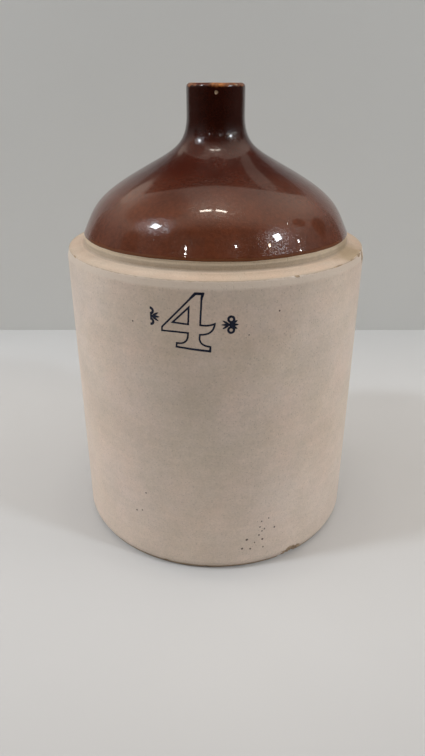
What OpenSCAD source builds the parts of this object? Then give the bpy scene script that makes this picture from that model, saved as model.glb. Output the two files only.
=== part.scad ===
// Stoneware shoulder jug with a stacking ledge, in its own frame:
// millimetres, +Z up, origin at the centre of the foot, front towards -Y.

/* [Body] */
// Outer diameter at the top of the wall, over the glaze
body_d = 274.2; // [250:0.2:300]
// How much narrower the wall is at the foot, on the radius
wall_lean = 0.7; // [0:0.1:4]
// Height from the ground to the top of the wall
wall_h = 274; // [200:1:360]
// Thickness of the wall
wall_t = 9.5; // [8:0.5:13]
// Thickness of the floor
floor_t = 12; // [10:0.5:20]
// Width of the bevel round the foot
foot_bevel_w = 3.7; // [1.5:0.1:6]
// Height of the bevel round the foot
foot_bevel_h = 8; // [5:0.5:9.5]
// Radius of the coil that joins floor and wall
floor_coil_r = 12; // [5:1:20]

/* [Shoulder ring] */
// Height of the ring below the top of the wall
ring_skirt_h = 12; // [8:1:25]
// Height of the bevelled band above the wall
band_h = 5.6; // [3:0.2:9]
// How far the band leans in
band_w = 1.7; // [0.5:0.1:3]
// Width of the stacking ledge
ledge_w = 13.6; // [10:0.2:17]
// Rise of the ledge towards the dome
ledge_rise = 3.3; // [1:0.1:6]
// Depth of the seat that holds the foot of the dome
seat_depth = 3; // [1.5:0.5:5]
// Thickness of the ring under the seat
seat_t = 10; // [7:0.5:12]
// Radius of the coil pressed into the joint of ring and dome
seam_coil_r = 6; // [2:0.5:6]

/* [Dome] */
// Height of the bare band between the ledge and the brown glaze
bare_h = 7.9; // [4:0.1:14]
// How far the bare band leans in
bare_w = 0.9; // [0:0.1:3]
// Height from the brown glaze line to the straight neck
dome_h = 98.8; // [85:0.2:120]
// Thickness of the dome at its foot
dome_wall_t = 9.5; // [7:0.5:12]

/* [Neck and mouth] */
// Outer diameter of the neck, over the glaze
neck_d = 50.6; // [46:0.2:60]
// Height of the straight neck with its lip
neck_h = 23.9; // [20:0.1:40]
// Diameter of the mouth bore, inside the glaze
mouth_d = 29; // [24:0.5:32]
// Height of the lip ring at the top of the neck
lip_h = 9.5; // [6:0.5:12]
// Rounding of the outer edge of the lip
lip_round = 3.6; // [1.5:0.1:4.5]
// Rounding of the edge of the bore
mouth_round = 2.4; // [1.5:0.1:3]

/* [Handle] */
// Width of the strap
strap_w = 28; // [20:1:32]
// Thickness of the strap
strap_t = 10; // [7:0.5:12]
// Radius of the arch, to the middle of the strap
arch_r = 36.5; // [34:0.5:38]
// Distance of the arch's centre from the neck
arch_out = 17; // [14:0.5:20]
// Drop of the arch's centre below the straight neck
arch_drop = 27.5; // [25:0.5:30]
// Radius of the pad at the neck
upper_pad_r = 16; // [15:0.5:18]
// How far the pad at the neck stands proud
upper_pad_rise = 7; // [5:0.5:9]
// Radius of the pad at the dome
lower_pad_r = 22; // [19:0.5:26]
// How far the pad at the dome stands proud
lower_pad_rise = 8; // [5:0.5:10]

/* [Coats] */
// Thickness of the pale glaze
pale_t = 0.6; // [0.3:0.1:1]
// Thickness of the brown glaze, inside and outside
brown_t = 0.5; // [0.3:0.1:1]
// Bare height at the foot, below the pale glaze
foot_bare_h = 3; // [1:0.5:4.5]

/* [Marks] */
// Thickness of the blue marks
ink_t = 0.25; // [0.1:0.05:0.5]
// Height of the numeral
numeral_h = 45.7; // [30:0.1:48]
// Width of the numeral's line
numeral_line_w = 1.3; // [0.8:0.1:2]
// Drop of the numeral's middle below the top of the wall
numeral_drop = 25.8; // [25.5:0.1:120]
// Distance of the numeral's middle from the front, round the wall
numeral_along = -21.8; // [-80:0.1:80]
// Slant of the numeral, in degrees
numeral_slant = -4.6; // [-8:0.1:8]
// Length of an ornament, along its axis
ornament_l = 14.2; // [8:0.1:20]
// Drop of the right ornament below the top of the wall
right_drop = 28.5; // [12:0.1:120]
// Drop of the left ornament below the top of the wall
left_drop = 24.6; // [12:0.1:120]
// Space between the numeral and the right ornament
right_gap = 4.6; // [1:0.1:20]
// Space between the numeral and the left ornament
left_gap = 2.1; // [1:0.1:20]

/* [Hidden] */
$fn = 96;
full_turn = 360;
quarter_turn = 90;
// Steps along each curve of an outline
curve_steps = 14;
arc_steps = 8;
// One overrun for every cut
overrun = 20;

// Body, over the glaze
body_r = body_d / 2;
wall_foot_r = body_r - wall_lean;
foot_r = wall_foot_r - foot_bevel_w;
ledge_edge_r = body_r - band_w;
ledge_edge_z = wall_h + band_h;
ledge_in_r = ledge_edge_r - ledge_w;
ledge_in_z = ledge_edge_z + ledge_rise;
ring_z = wall_h - ring_skirt_h;
seat_z = ledge_in_z - seat_depth;

// Dome outline, over the glaze, from the brown glaze line up to the straight neck
dome_r = ledge_in_r - bare_w;
dome_z = ledge_in_z + bare_h;
neck_r = neck_d / 2;
neck_z = dome_z + dome_h;
top_z = neck_z + neck_h;
lip_z = top_z - lip_h;
swell_shares = [[1, 0], [0.893, 0.212], [0.887, 0.296], [0.45, 0.528]];
sweep_shares = [[0.45, 0.528], [0.129, 0.699], [0, 0.729], [0, 1]];

// Mouth bore, in the clay and inside the glaze
mouth_r = mouth_d / 2;
bore_clay_r = mouth_r + brown_t;
neck_clay_r = neck_r - brown_t;
neck_wall_t = neck_clay_r - bore_clay_r;

function mix(a, b, share) = a + (b - a) * share;
function unit(v) = v / norm(v);
function out_normal(v) = unit([v[1], -v[0]]);

// Points, directions and outward normals of a curve with four control points
function curve_at(c, s) =
    pow(1 - s, 3) * c[0] + 3 * pow(1 - s, 2) * s * c[1] + 3 * (1 - s) * s * s * c[2] + pow(s, 3) * c[3];
function curve_way(c, s) =
    pow(1 - s, 2) * (c[1] - c[0]) + 2 * (1 - s) * s * (c[2] - c[1]) + s * s * (c[3] - c[2]);
function from_shares(shares) =
    [for (p = shares) [mix(neck_r, dome_r, p[0]), mix(dome_z, neck_z, p[1])]];
function arc(centre, r, from, to) =
    [for (i = [0 : arc_steps])
        let (a = mix(from, to, i / arc_steps))
            centre + r * [cos(a), sin(a)]];

swell = from_shares(swell_shares);
sweep = from_shares(sweep_shares);
dome_path = concat(
    [for (i = [0 : curve_steps - 1]) curve_at(swell, i / curve_steps)],
    [for (i = [0 : curve_steps]) curve_at(sweep, i / curve_steps)]
);
dome_normals = concat(
    [for (i = [0 : curve_steps - 1]) out_normal(curve_way(swell, i / curve_steps))],
    [for (i = [0 : curve_steps]) out_normal(curve_way(sweep, i / curve_steps))]
);
dome_last = len(dome_path) - 1;
dome_clay = [for (i = [0 : dome_last]) dome_path[i] - brown_t * dome_normals[i]];
dome_inside = [
    for (i = [0 : dome_last])
        dome_clay[i] - mix(dome_wall_t, neck_wall_t, i / dome_last) * dome_normals[i]
];

// Radius of the body over the glaze, of its clay and of its inner face, at a height
function body_r_at(z) =
    z < foot_bevel_h
        ? mix(foot_r, wall_foot_r, z / foot_bevel_h)
        : mix(wall_foot_r, body_r, (z - foot_bevel_h) / (wall_h - foot_bevel_h));
function clay_r_at(z) = body_r_at(z) - pale_t;
function inside_r_at(z) = clay_r_at(z) - wall_t;

// Joint of ring and dome: the coil reaches at most this far up the dome's foot
seam_limit_share = 0.96;
ring_bore_r = dome_inside[0][0];
coil_z = floor_t + floor_coil_r;
seam_r = min(seam_coil_r, seam_limit_share * (dome_inside[0][1] - seat_z));
coil_arc = arc([inside_r_at(coil_z) - floor_coil_r, coil_z], floor_coil_r, -quarter_turn, 0);
seam_arc = arc([ring_bore_r, seat_z], seam_r, 3 * quarter_turn, quarter_turn);

// Inner face of the clay, from the middle of the floor up to the mouth
mouth_z = top_z - mouth_round;
below_seam = concat(
    [[0, floor_t]],
    coil_arc,
    [[inside_r_at(ring_z), ring_z], [ring_bore_r, seat_z - seat_t]]
);
above_seam = concat(dome_inside, [[bore_clay_r, mouth_z]]);
inside_path = concat(below_seam, seam_arc, above_seam);
// The line that the liner follows: its glaze fills the cleft on top of the coil
liner_path = concat(below_seam, [for (i = [0 : arc_steps - 1]) seam_arc[i]], above_seam);
// A line moved off its clay by a distance, with mitred corners
function edge_normal(path, i) = out_normal(path[i + 1] - path[i]);
function moved(path, d) =
    [for (i = [0 : len(path) - 1])
        let (
            before = edge_normal(path, max(i - 1, 0)),
            after = edge_normal(path, min(i, len(path) - 2))
        )
            path[i] - d * (before + after) / (1 + before * after)];
function back(path) = [for (i = [len(path) - 1 : -1 : 0]) path[i]];

// Lip outline at a depth under the glaze, from the outer face over the top into the bore
function lip_line(depth) = concat(
    arc([neck_r - lip_round, top_z - lip_round], lip_round - depth, 0, quarter_turn),
    arc([mouth_r + mouth_round, mouth_z], mouth_round - depth, quarter_turn, 2 * quarter_turn)
);

// Handle arch and its two pads, which lie in the plane behind the neck
arch_y = neck_r + arch_out;
arch_z = neck_z - arch_drop;
upper_land = [neck_clay_r, arch_z + sqrt(pow(arch_r, 2) - pow(arch_y - neck_clay_r, 2))];
land_gaps = [
    for (p = dome_clay)
        p[0] > arch_y ? abs(norm(p - [arch_y, arch_z]) - arch_r) : top_z
];
// The point of the dome where the arch lands: the one nearest to its circle, beyond its centre
lower_i = search(min(land_gaps), land_gaps)[0];
lower_land = dome_clay[lower_i];
lower_normal = dome_normals[lower_i];

// Outline of the numeral, as shares of its height: straight runs, and bends with one middle point
numeral_stem_shares = [[0.54, 0.99], [0.668, 1], [0.652, 0.92], [0.657, 0.62]];
numeral_arm_top_shares = [[0.664, 0.448], [0.81, 0.44], [0.905, 0.496]];
numeral_arm_tip_shares = [[0.905, 0.496], [0.903, 0.29], [0.67, 0.276]];
numeral_right_foot_shares = [[0.668, 0.225], [0.668, 0.076], [0.866, 0.072]];
numeral_base_shares = [[0.866, -0.01], [0.28, 0]];
numeral_left_foot_shares = [[0.279, 0.068], [0.466, 0.066], [0.466, 0.225]];
numeral_bar_shares = [[0.467, 0.28], [0.25, 0.274], [0.003, 0.252], [0.003, 0.322]];
numeral_counter_shares = [[0.448, 0.74], [0.458, 0.438], [0.187, 0.436]];
numeral_middle_share = [0.45, 0.5];

// Ornament, as shares of its length: the leaves behind, the scrolls and the bud
leaf_turn_shares = [-0.085, 0, 0.085];
leaf_l_share = 0.5;
leaf_w_share = 0.13;
scroll_r_share = 0.23;
scroll_eye_share = 0.085;
scroll_x_share = 0.07;
scroll_y_share = 0.31;
hub_r_share = 0.09;
bud_l_share = 0.5;
bud_w_share = 0.16;
bud_turn_shares = [-0.085, 0, 0.085];
// The left ornament has printed only up to this far beyond its hub
printed_share = 0.09;

// Places of the marks round the wall, from the front
numeral_left = numeral_along - numeral_middle_share[0] * numeral_h;
numeral_right = numeral_along + (numeral_arm_tip_shares[0][0] - numeral_middle_share[0]) * numeral_h;
right_along = numeral_right + right_gap + ornament_l / 2;
left_along = numeral_left - left_gap - ornament_l / 2;

module turned(points) {
    rotate_extrude() polygon(points);
}

// Solid of the outside from the brown glaze line up, at a depth under the glaze
module top_envelope(path, r) {
    turned(concat([[0, dome_z]], path, [[r, top_z], [0, top_z]]));
}

module arch(extra) {
    translate([0, arch_y, arch_z])
        rotate([0, quarter_turn, 0])
            rotate_extrude()
                translate([arch_r, 0])
                    strap_section(extra);
}

module strap_section(extra) {
    half_t = strap_t / 2 + extra;
    straight = strap_w - strap_t;
    translate([-half_t, -straight / 2]) square([2 * half_t, straight]);
    for (side = [-1, 1]) translate([0, side * straight / 2]) circle(r = half_t);
}

module upper_pad(extra) {
    y = upper_land[0] + upper_pad_rise - upper_pad_r;
    translate([0, y, upper_land[1]]) sphere(r = upper_pad_r + extra);
}

module lower_pad(extra) {
    middle = lower_land + (lower_pad_rise - lower_pad_r) * lower_normal;
    translate([0, middle[0], middle[1]]) sphere(r = lower_pad_r + extra);
}

module base_slab() {
    color("tan")
        turned([
            [0, 0], [foot_r, 0],
            [body_r_at(foot_bare_h), foot_bare_h], [clay_r_at(foot_bare_h), foot_bare_h],
            [clay_r_at(foot_bevel_h), foot_bevel_h], [clay_r_at(floor_t), floor_t], [0, floor_t]
        ]);
}

module floor_coil() {
    color("tan")
        turned(concat([[inside_r_at(floor_t), floor_t]], coil_arc));
}

module body_wall() {
    color("wheat")
        turned([
            [inside_r_at(floor_t), floor_t], [clay_r_at(floor_t), floor_t],
            [clay_r_at(ring_z), ring_z], [inside_r_at(ring_z), ring_z]
        ]);
}

module shoulder_ring() {
    color("wheat")
        turned([
            [clay_r_at(ring_z), ring_z], [clay_r_at(wall_h), wall_h],
            [ledge_edge_r - pale_t, ledge_edge_z], [ledge_in_r, ledge_in_z],
            [ledge_in_r, seat_z], [ring_bore_r, seat_z],
            [ring_bore_r, seat_z - seat_t], [inside_r_at(ring_z), ring_z]
        ]);
}

module seam_coil() {
    color("tan")
        turned(seam_arc);
}

module shoulder_dome() {
    color("peru")
        turned(concat(
            [[ring_bore_r, seat_z], [ledge_in_r, seat_z], [ledge_in_r, ledge_in_z], dome_path[0]],
            dome_clay,
            back(dome_inside)
        ));
}

module neck_tube() {
    color("peru")
        turned([
            [bore_clay_r, neck_z], [neck_clay_r, neck_z], [neck_clay_r, lip_z], [bore_clay_r, lip_z]
        ]);
}

module lip_ring() {
    color("sienna")
        turned(concat(
            [[bore_clay_r, lip_z], [neck_clay_r, lip_z]],
            lip_line(brown_t)
        ));
}

module handle_strap() {
    color("saddlebrown")
        difference() {
            arch(0);
            top_envelope(dome_clay, neck_clay_r);
        }
}

module handle_upper_root() {
    color("saddlebrown")
        difference() {
            upper_pad(0);
            top_envelope(dome_clay, neck_clay_r);
            arch(0);
        }
}

module handle_lower_root() {
    color("saddlebrown")
        difference() {
            lower_pad(0);
            top_envelope(dome_clay, neck_clay_r);
            arch(0);
        }
}

module handle_glaze() {
    color([0.25, 0.09, 0.05])
        difference() {
            union() {
                arch(brown_t);
                upper_pad(brown_t);
                lower_pad(brown_t);
            }
            top_envelope(dome_path, neck_r);
            arch(0);
            upper_pad(0);
            lower_pad(0);
        }
}

module body_glaze() {
    color([0.83, 0.79, 0.72])
        turned([
            [clay_r_at(foot_bare_h), foot_bare_h], [body_r_at(foot_bare_h), foot_bare_h],
            [wall_foot_r, foot_bevel_h], [body_r, wall_h],
            [clay_r_at(wall_h), wall_h], [clay_r_at(foot_bevel_h), foot_bevel_h]
        ]);
}

module rim_glaze() {
    color([0.74, 0.72, 0.67])
        turned([
            [clay_r_at(wall_h), wall_h], [body_r, wall_h],
            [ledge_edge_r, ledge_edge_z], [ledge_edge_r - pale_t, ledge_edge_z]
        ]);
}

module top_glaze() {
    color([0.3, 0.1, 0.06])
        difference() {
            turned(concat(
                dome_path,
                lip_line(0),
                back(lip_line(brown_t)),
                back(dome_clay)
            ));
            arch(0);
            upper_pad(0);
            lower_pad(0);
        }
}

module liner_glaze() {
    color([0.35, 0.16, 0.1])
        turned(concat(inside_path, back(moved(liner_path, brown_t))));
}

// A flat mark in blue, wrapped on the wall at a distance from the front and a drop from its top
module on_wall(along, drop, reach) {
    z = wall_h - drop;
    turn = full_turn * along / (2 * PI * body_r);
    low = z - reach;
    high = min(z + reach, wall_h);
    color([0.1, 0.13, 0.25])
        intersection() {
            turned([
                [body_r_at(low), low], [body_r_at(low) + ink_t, low],
                [body_r_at(high) + ink_t, high], [body_r_at(high), high]
            ]);
            rotate([0, 0, turn])
                translate([0, 0, z])
                    rotate([quarter_turn, 0, 0])
                        linear_extrude(height = body_r + overrun)
                            children();
        }
}

// A closed outline moved outwards by a distance; its points run clockwise
function outline_moved(points, d) =
    [for (i = [0 : len(points) - 1])
        let (
            last = points[(i + len(points) - 1) % len(points)],
            next = points[(i + 1) % len(points)],
            before = out_normal(points[i] - last),
            after = out_normal(next - points[i])
        )
            points[i] - d * (before + after) / (1 + before * after)];

module line(points) {
    difference() {
        polygon(outline_moved(points, numeral_line_w / 2));
        polygon(outline_moved(points, -numeral_line_w / 2));
    }
}

function bend(c) =
    [for (i = [0 : arc_steps])
        let (s = i / arc_steps)
            pow(1 - s, 2) * c[0] + 2 * (1 - s) * s * c[1] + s * s * c[2]];
function tail(points) = [for (i = [1 : len(points) - 1]) points[i]];
numeral_outer = concat(
    numeral_stem_shares,
    bend(numeral_arm_top_shares),
    tail(bend(numeral_arm_tip_shares)),
    bend(numeral_right_foot_shares),
    numeral_base_shares,
    bend(numeral_left_foot_shares),
    numeral_bar_shares
);

module numeral_line(shares) {
    line([for (p = shares) (p - numeral_middle_share) * numeral_h]);
}

module capacity_numeral() {
    on_wall(numeral_along, numeral_drop, numeral_h)
        rotate(numeral_slant) {
            numeral_line(numeral_outer);
            numeral_line(numeral_counter_shares);
        }
}

// A pointed leaf from the origin along the first axis, between two arcs
module leaf(l, w) {
    r = (pow(l, 2) / w + w) / 4;
    half = asin(l / (2 * r));
    polygon(concat(
        arc([l / 2, w / 2 - r], r, quarter_turn + half, quarter_turn - half),
        tail(arc([l / 2, r - w / 2], r, half - quarter_turn, -half - quarter_turn))
    ));
}

// A palmette: a fan of leaves at one end, two scrolls at the sides and a bud at the other end
module palmette(l) {
    difference() {
        union() {
            circle(r = l * hub_r_share);
            for (share = leaf_turn_shares)
                rotate(full_turn / 2 + full_turn * share) leaf(l * leaf_l_share, l * leaf_w_share);
            for (share = bud_turn_shares)
                rotate(full_turn * share) leaf(l * bud_l_share, l * bud_w_share);
            for (side = [-1, 1])
                translate([l * scroll_x_share, side * l * scroll_y_share])
                    circle(r = l * scroll_r_share);
        }
        for (side = [-1, 1])
            translate([l * scroll_x_share, side * l * scroll_y_share])
                circle(r = l * scroll_eye_share);
    }
}

module ornament_left() {
    on_wall(left_along, left_drop, ornament_l)
        mirror([1, 0])
            intersection() {
                palmette(ornament_l);
                translate([-ornament_l, -ornament_l])
                    square([ornament_l * (1 + printed_share), 2 * ornament_l]);
            }
}

module ornament_right() {
    on_wall(right_along, right_drop, ornament_l)
        palmette(ornament_l);
}

base_slab();
floor_coil();
body_wall();
shoulder_ring();
seam_coil();
shoulder_dome();
neck_tube();
lip_ring();
handle_strap();
handle_upper_root();
handle_lower_root();
handle_glaze();
body_glaze();
rim_glaze();
top_glaze();
liner_glaze();
capacity_numeral();
ornament_left();
ornament_right();
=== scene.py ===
"""Looks of a two-tone stoneware shoulder jug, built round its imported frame.

The sizes of the jug and of its wear are in millimetres; meshes, lamps and finishes are in metres.
All lie in the frame of the solid model: +Z up along the jug's axis, the origin at the centre of the
foot, front towards -Y. A turn is an angle round the axis in degrees, from the front, positive
towards +X. A noise's scale is in waves per metre.
"""

from __future__ import annotations

import logging
import math
from dataclasses import dataclass, field, fields
from enum import Enum
from typing import Any, Callable, Iterable, Sequence

import bmesh
import bpy
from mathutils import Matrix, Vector, noise

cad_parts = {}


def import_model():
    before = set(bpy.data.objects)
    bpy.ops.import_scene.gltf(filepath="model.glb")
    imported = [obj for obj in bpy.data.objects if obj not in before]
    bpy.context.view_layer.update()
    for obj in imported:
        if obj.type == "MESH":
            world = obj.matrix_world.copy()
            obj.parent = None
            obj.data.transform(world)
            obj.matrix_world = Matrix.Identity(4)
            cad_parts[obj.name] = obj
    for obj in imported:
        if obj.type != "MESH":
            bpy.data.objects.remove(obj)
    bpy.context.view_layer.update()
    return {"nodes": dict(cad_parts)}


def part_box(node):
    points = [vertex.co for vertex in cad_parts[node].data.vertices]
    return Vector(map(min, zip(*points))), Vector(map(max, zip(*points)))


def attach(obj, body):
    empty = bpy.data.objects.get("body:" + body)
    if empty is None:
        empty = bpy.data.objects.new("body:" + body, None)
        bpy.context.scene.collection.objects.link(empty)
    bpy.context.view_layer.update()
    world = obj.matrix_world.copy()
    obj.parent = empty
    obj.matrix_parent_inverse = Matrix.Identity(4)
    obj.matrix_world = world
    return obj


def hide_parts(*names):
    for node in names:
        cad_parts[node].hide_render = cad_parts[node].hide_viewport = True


LOG = logging.getLogger("jug")
MM = 0.001
BARE = "bare_clay"
Colour = tuple[float, float, float]
Pair = tuple[float, float]
Piece = bpy.types.Object
Socket = bpy.types.NodeSocket
Tree = bpy.types.NodeTree


def at_turn(turn: float, radius: float, height: float) -> Vector:
    """Gives the place at a turn, a radius and a height.

    Args:
        turn: Degrees round the axis from the front.
        radius: Distance from the axis in millimetres.
        height: Height over the ground in millimetres.

    Returns:
        The place in metres.
    """
    angle = math.radians(turn)
    return Vector((math.sin(angle) * radius, -math.cos(angle) * radius, height)) * MM


def smooth(share: float) -> float:
    """Eases a share that is held between 0 and 1."""
    held = min(1.0, max(0.0, share))
    return held * held * (3 - 2 * held)


def mix(low: float, high: float, share: float) -> float:
    """Value at a share of the way from low to high."""
    return low + (high - low) * share


def humps(place: Vector) -> float:
    """Noise at a place, with its hollows filled to 0."""
    return max(0.0, noise.noise(place))


def radius_of(place: Vector) -> float:
    """Distance of a place from the jug's axis."""
    return math.hypot(place.x, place.y)


# ---------------------------------------------------------------------------------------------
# Sizes of the jug, as the solid model has them
# ---------------------------------------------------------------------------------------------


@dataclass(frozen=True)
class JugSizes:
    """Outer sizes of the jug over its glaze, in millimetres."""

    body_r: float = 137.1
    wall_foot_r: float = 136.4
    foot_r: float = 132.7
    foot_bevel_h: float = 8.0
    foot_bare_h: float = 3.0
    wall_h: float = 274.0
    wall_t: float = 9.5
    floor_t: float = 12.0
    ring_z: float = 262.0
    ledge_edge_r: float = 135.4
    ledge_edge_z: float = 279.6
    ledge_in_r: float = 121.8
    ledge_in_z: float = 282.9
    seat_z: float = 279.9
    seat_t: float = 10.0
    dome_r: float = 120.9
    dome_z: float = 290.8
    dome_wall_t: float = 9.5
    neck_r: float = 25.3
    neck_z: float = 389.6
    top_z: float = 413.5
    mouth_r: float = 14.5
    lip_round: float = 3.6
    mouth_round: float = 2.4
    pale_t: float = 0.6
    brown_t: float = 0.5
    arch_y: float = 42.3
    arch_z: float = 362.1
    arch_r: float = 36.5
    strap_w: float = 28.0
    strap_t: float = 10.0
    upper_pad_r: float = 16.0
    upper_pad_rise: float = 7.0
    lower_pad_r: float = 22.0
    lower_pad_rise: float = 8.0

    def body_at(self, z: float) -> float:
        """Radius of the glazed body at a height."""
        if z < self.foot_bevel_h:
            return mix(self.foot_r, self.wall_foot_r, z / self.foot_bevel_h)
        return mix(self.wall_foot_r, self.body_r, (z - self.foot_bevel_h) / (self.wall_h - self.foot_bevel_h))


@dataclass(frozen=True)
class DomeLine:
    """Outline of the dome over its glaze, from the brown glaze line to the straight neck."""

    sizes: JugSizes
    swell: tuple[Pair, ...] = ((1, 0), (0.893, 0.212), (0.887, 0.296), (0.45, 0.528))
    sweep: tuple[Pair, ...] = ((0.45, 0.528), (0.129, 0.699), (0, 0.729), (0, 1))
    steps: int = 22

    def rows(self) -> list[tuple[Vector, Vector]]:
        """Points and outward normals of the outline, from its foot upwards."""
        s, rows = self.sizes, []
        for shares in (self.swell, self.sweep):
            a, b, c, d = (Vector((mix(s.neck_r, s.dome_r, x), mix(s.dome_z, s.neck_z, y))) for x, y in shares)
            for i in range(self.steps + (shares is self.sweep)):
                t = i / self.steps
                u = 1 - t
                point = u**3 * a + 3 * u * u * t * b + 3 * u * t * t * c + t**3 * d
                way = u * u * (b - a) + 2 * u * t * (c - b) + t * t * (d - c)
                rows.append((point, Vector((way.y, -way.x)).normalized()))
        return rows

    def moved(self, depth: float, top_depth: float | None = None) -> list[Vector]:
        """Gives the outline at a depth under the glaze.

        Args:
            depth: Depth at the dome's foot.
            top_depth: Depth at the neck, where it differs.

        Returns:
            Points of radius and height.
        """
        rows = self.rows()
        end = depth if top_depth is None else top_depth
        return [p - n * mix(depth, end, i / (len(rows) - 1)) for i, (p, n) in enumerate(rows)]

    def inside(self) -> list[Vector]:
        """Outline of the clay's inner face."""
        s = self.sizes
        return self.moved(s.brown_t + s.dome_wall_t, s.neck_r - s.mouth_r - s.brown_t)


def arc(centre: Pair, radius: float, start: float, end: float, steps: int = 8) -> list[Vector]:
    """Points along an arc.

    Args:
        centre: Radius and height of its centre.
        radius: Its radius.
        start: Its first angle in degrees.
        end: Its last angle in degrees.
        steps: How many steps it has.

    Returns:
        Points of radius and height.
    """
    angles = [math.radians(mix(start, end, i / steps)) for i in range(steps + 1)]
    return [Vector((centre[0] + radius * math.cos(a), centre[1] + radius * math.sin(a))) for a in angles]


def run(start: Sequence[float], end: Sequence[float], step: float) -> list[Vector]:
    """Points along a straight run, without its last one, at most a step apart."""
    a, b = Vector(start), Vector(end)
    count = max(1, math.ceil((b - a).length / step))
    return [a.lerp(b, i / count) for i in range(count)]


# ---------------------------------------------------------------------------------------------
# Traces of the maker's hand and of use
# ---------------------------------------------------------------------------------------------


@dataclass(frozen=True)
class Chip:
    """A place where glaze and clay have broken away."""

    turn: float
    radius: float
    height: float
    half_w: float
    half_h: float
    depth: float
    rag: float = 0.35
    rag_scale: float = 420
    steepness: float = 2.4
    widest_turn: float = 40
    margin: float = 1.35

    def share(self, place: Vector) -> float:
        """Tells how deep in the chip a place lies.

        Args:
            place: A place on the surface, in metres.

        Returns:
            0 outside, rising to 1 in the middle.
        """
        turn = (math.degrees(math.atan2(place.x, -place.y)) - self.turn + 180) % 360 - 180
        if abs(turn) > self.widest_turn:
            return 0.0
        along = math.radians(turn) * self.radius / self.half_w
        off = math.hypot(radius_of(place) / MM - self.radius, place.z / MM - self.height) / self.half_h
        far = math.hypot(along, off) + self.rag * noise.noise(place * self.rag_scale)
        return smooth((1.0 - far) * self.steepness)

    def near(self) -> tuple[Vector, float]:
        """Middle of the chip, and how far round it faces are made finer, in metres."""
        return at_turn(self.turn, self.radius, self.height), max(self.half_w, self.half_h) * self.margin * MM


@dataclass(frozen=True)
class Wear:
    """All chips of the jug, and how the wheel left its walls."""

    foot: tuple[Chip, ...] = (
        Chip(32.8, 134.2, 4.6, 14.0, 6.6, 2.3),
        Chip(28.2, 133.2, 1.2, 5.0, 3.2, 1.4),
        Chip(-20.5, 133.6, 2.4, 2.8, 2.6, 0.9),
        Chip(-4.0, 133.2, 1.2, 2.4, 2.0, 0.8),
        Chip(8.5, 133.0, 0.8, 3.0, 1.8, 0.7),
        Chip(-52.0, 133.2, 1.2, 5.0, 2.2, 0.9),
        Chip(118.0, 133.4, 1.8, 7.0, 3.6, 1.3),
        Chip(205.0, 133.2, 1.4, 4.0, 2.8, 0.9),
    )
    ledge: tuple[Chip, ...] = (
        Chip(72.0, 136.8, 273.2, 6.2, 7.6, 1.9, 0.45),
        Chip(66.5, 135.8, 278.8, 5.5, 2.0, 1.0),
        Chip(58.0, 135.4, 279.5, 6.5, 0.9, 0.4),
        Chip(47.0, 135.4, 279.5, 7.5, 0.8, 0.35),
        Chip(27.6, 135.4, 279.5, 0.9, 0.8, 0.5, 0.1),
        Chip(-63.0, 135.4, 279.5, 3.6, 1.1, 0.5),
        Chip(-118.0, 135.6, 279.2, 5.0, 2.0, 0.8),
        Chip(151.0, 135.6, 279.2, 4.0, 1.8, 0.7),
    )
    sway: float = 0.2
    groove: float = 0.05
    groove_pitch: float = 10.5

    def wall_offset(self, place: Vector) -> float:
        """Tells how far the thrown wall lies inside its full radius.

        Args:
            place: A place on the wall, in metres.

        Returns:
            A distance of 0 or more, in millimetres.
        """
        sway = 0.5 + 0.5 * noise.noise(Vector((place.x * 9, place.y * 9, place.z * 7)))
        waver = noise.noise(Vector((place.x * 6, place.y * 6, place.z * 11 + 4.0)))
        ring = 0.5 + 0.5 * math.sin(2 * math.pi * (place.z / MM / self.groove_pitch + 0.8 * waver))
        return self.sway * min(1.0, max(0.0, sway)) + self.groove * ring

    @staticmethod
    def chip_share(place: Vector, chips: Iterable[Chip]) -> Pair:
        """Tells how chipped a place is.

        Args:
            place: A place on the surface, in metres.
            chips: The chips that may reach it.

        Returns:
            The greatest share of a chip there, and its depth in millimetres.
        """
        share, depth = 0.0, 0.0
        for chip in chips:
            here = chip.share(place)
            share = max(share, here)
            depth = max(depth, here * chip.depth * (0.8 + 0.4 * noise.noise(place * 900)))
        return share, depth


# ---------------------------------------------------------------------------------------------
# Modelling steps
# ---------------------------------------------------------------------------------------------


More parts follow.
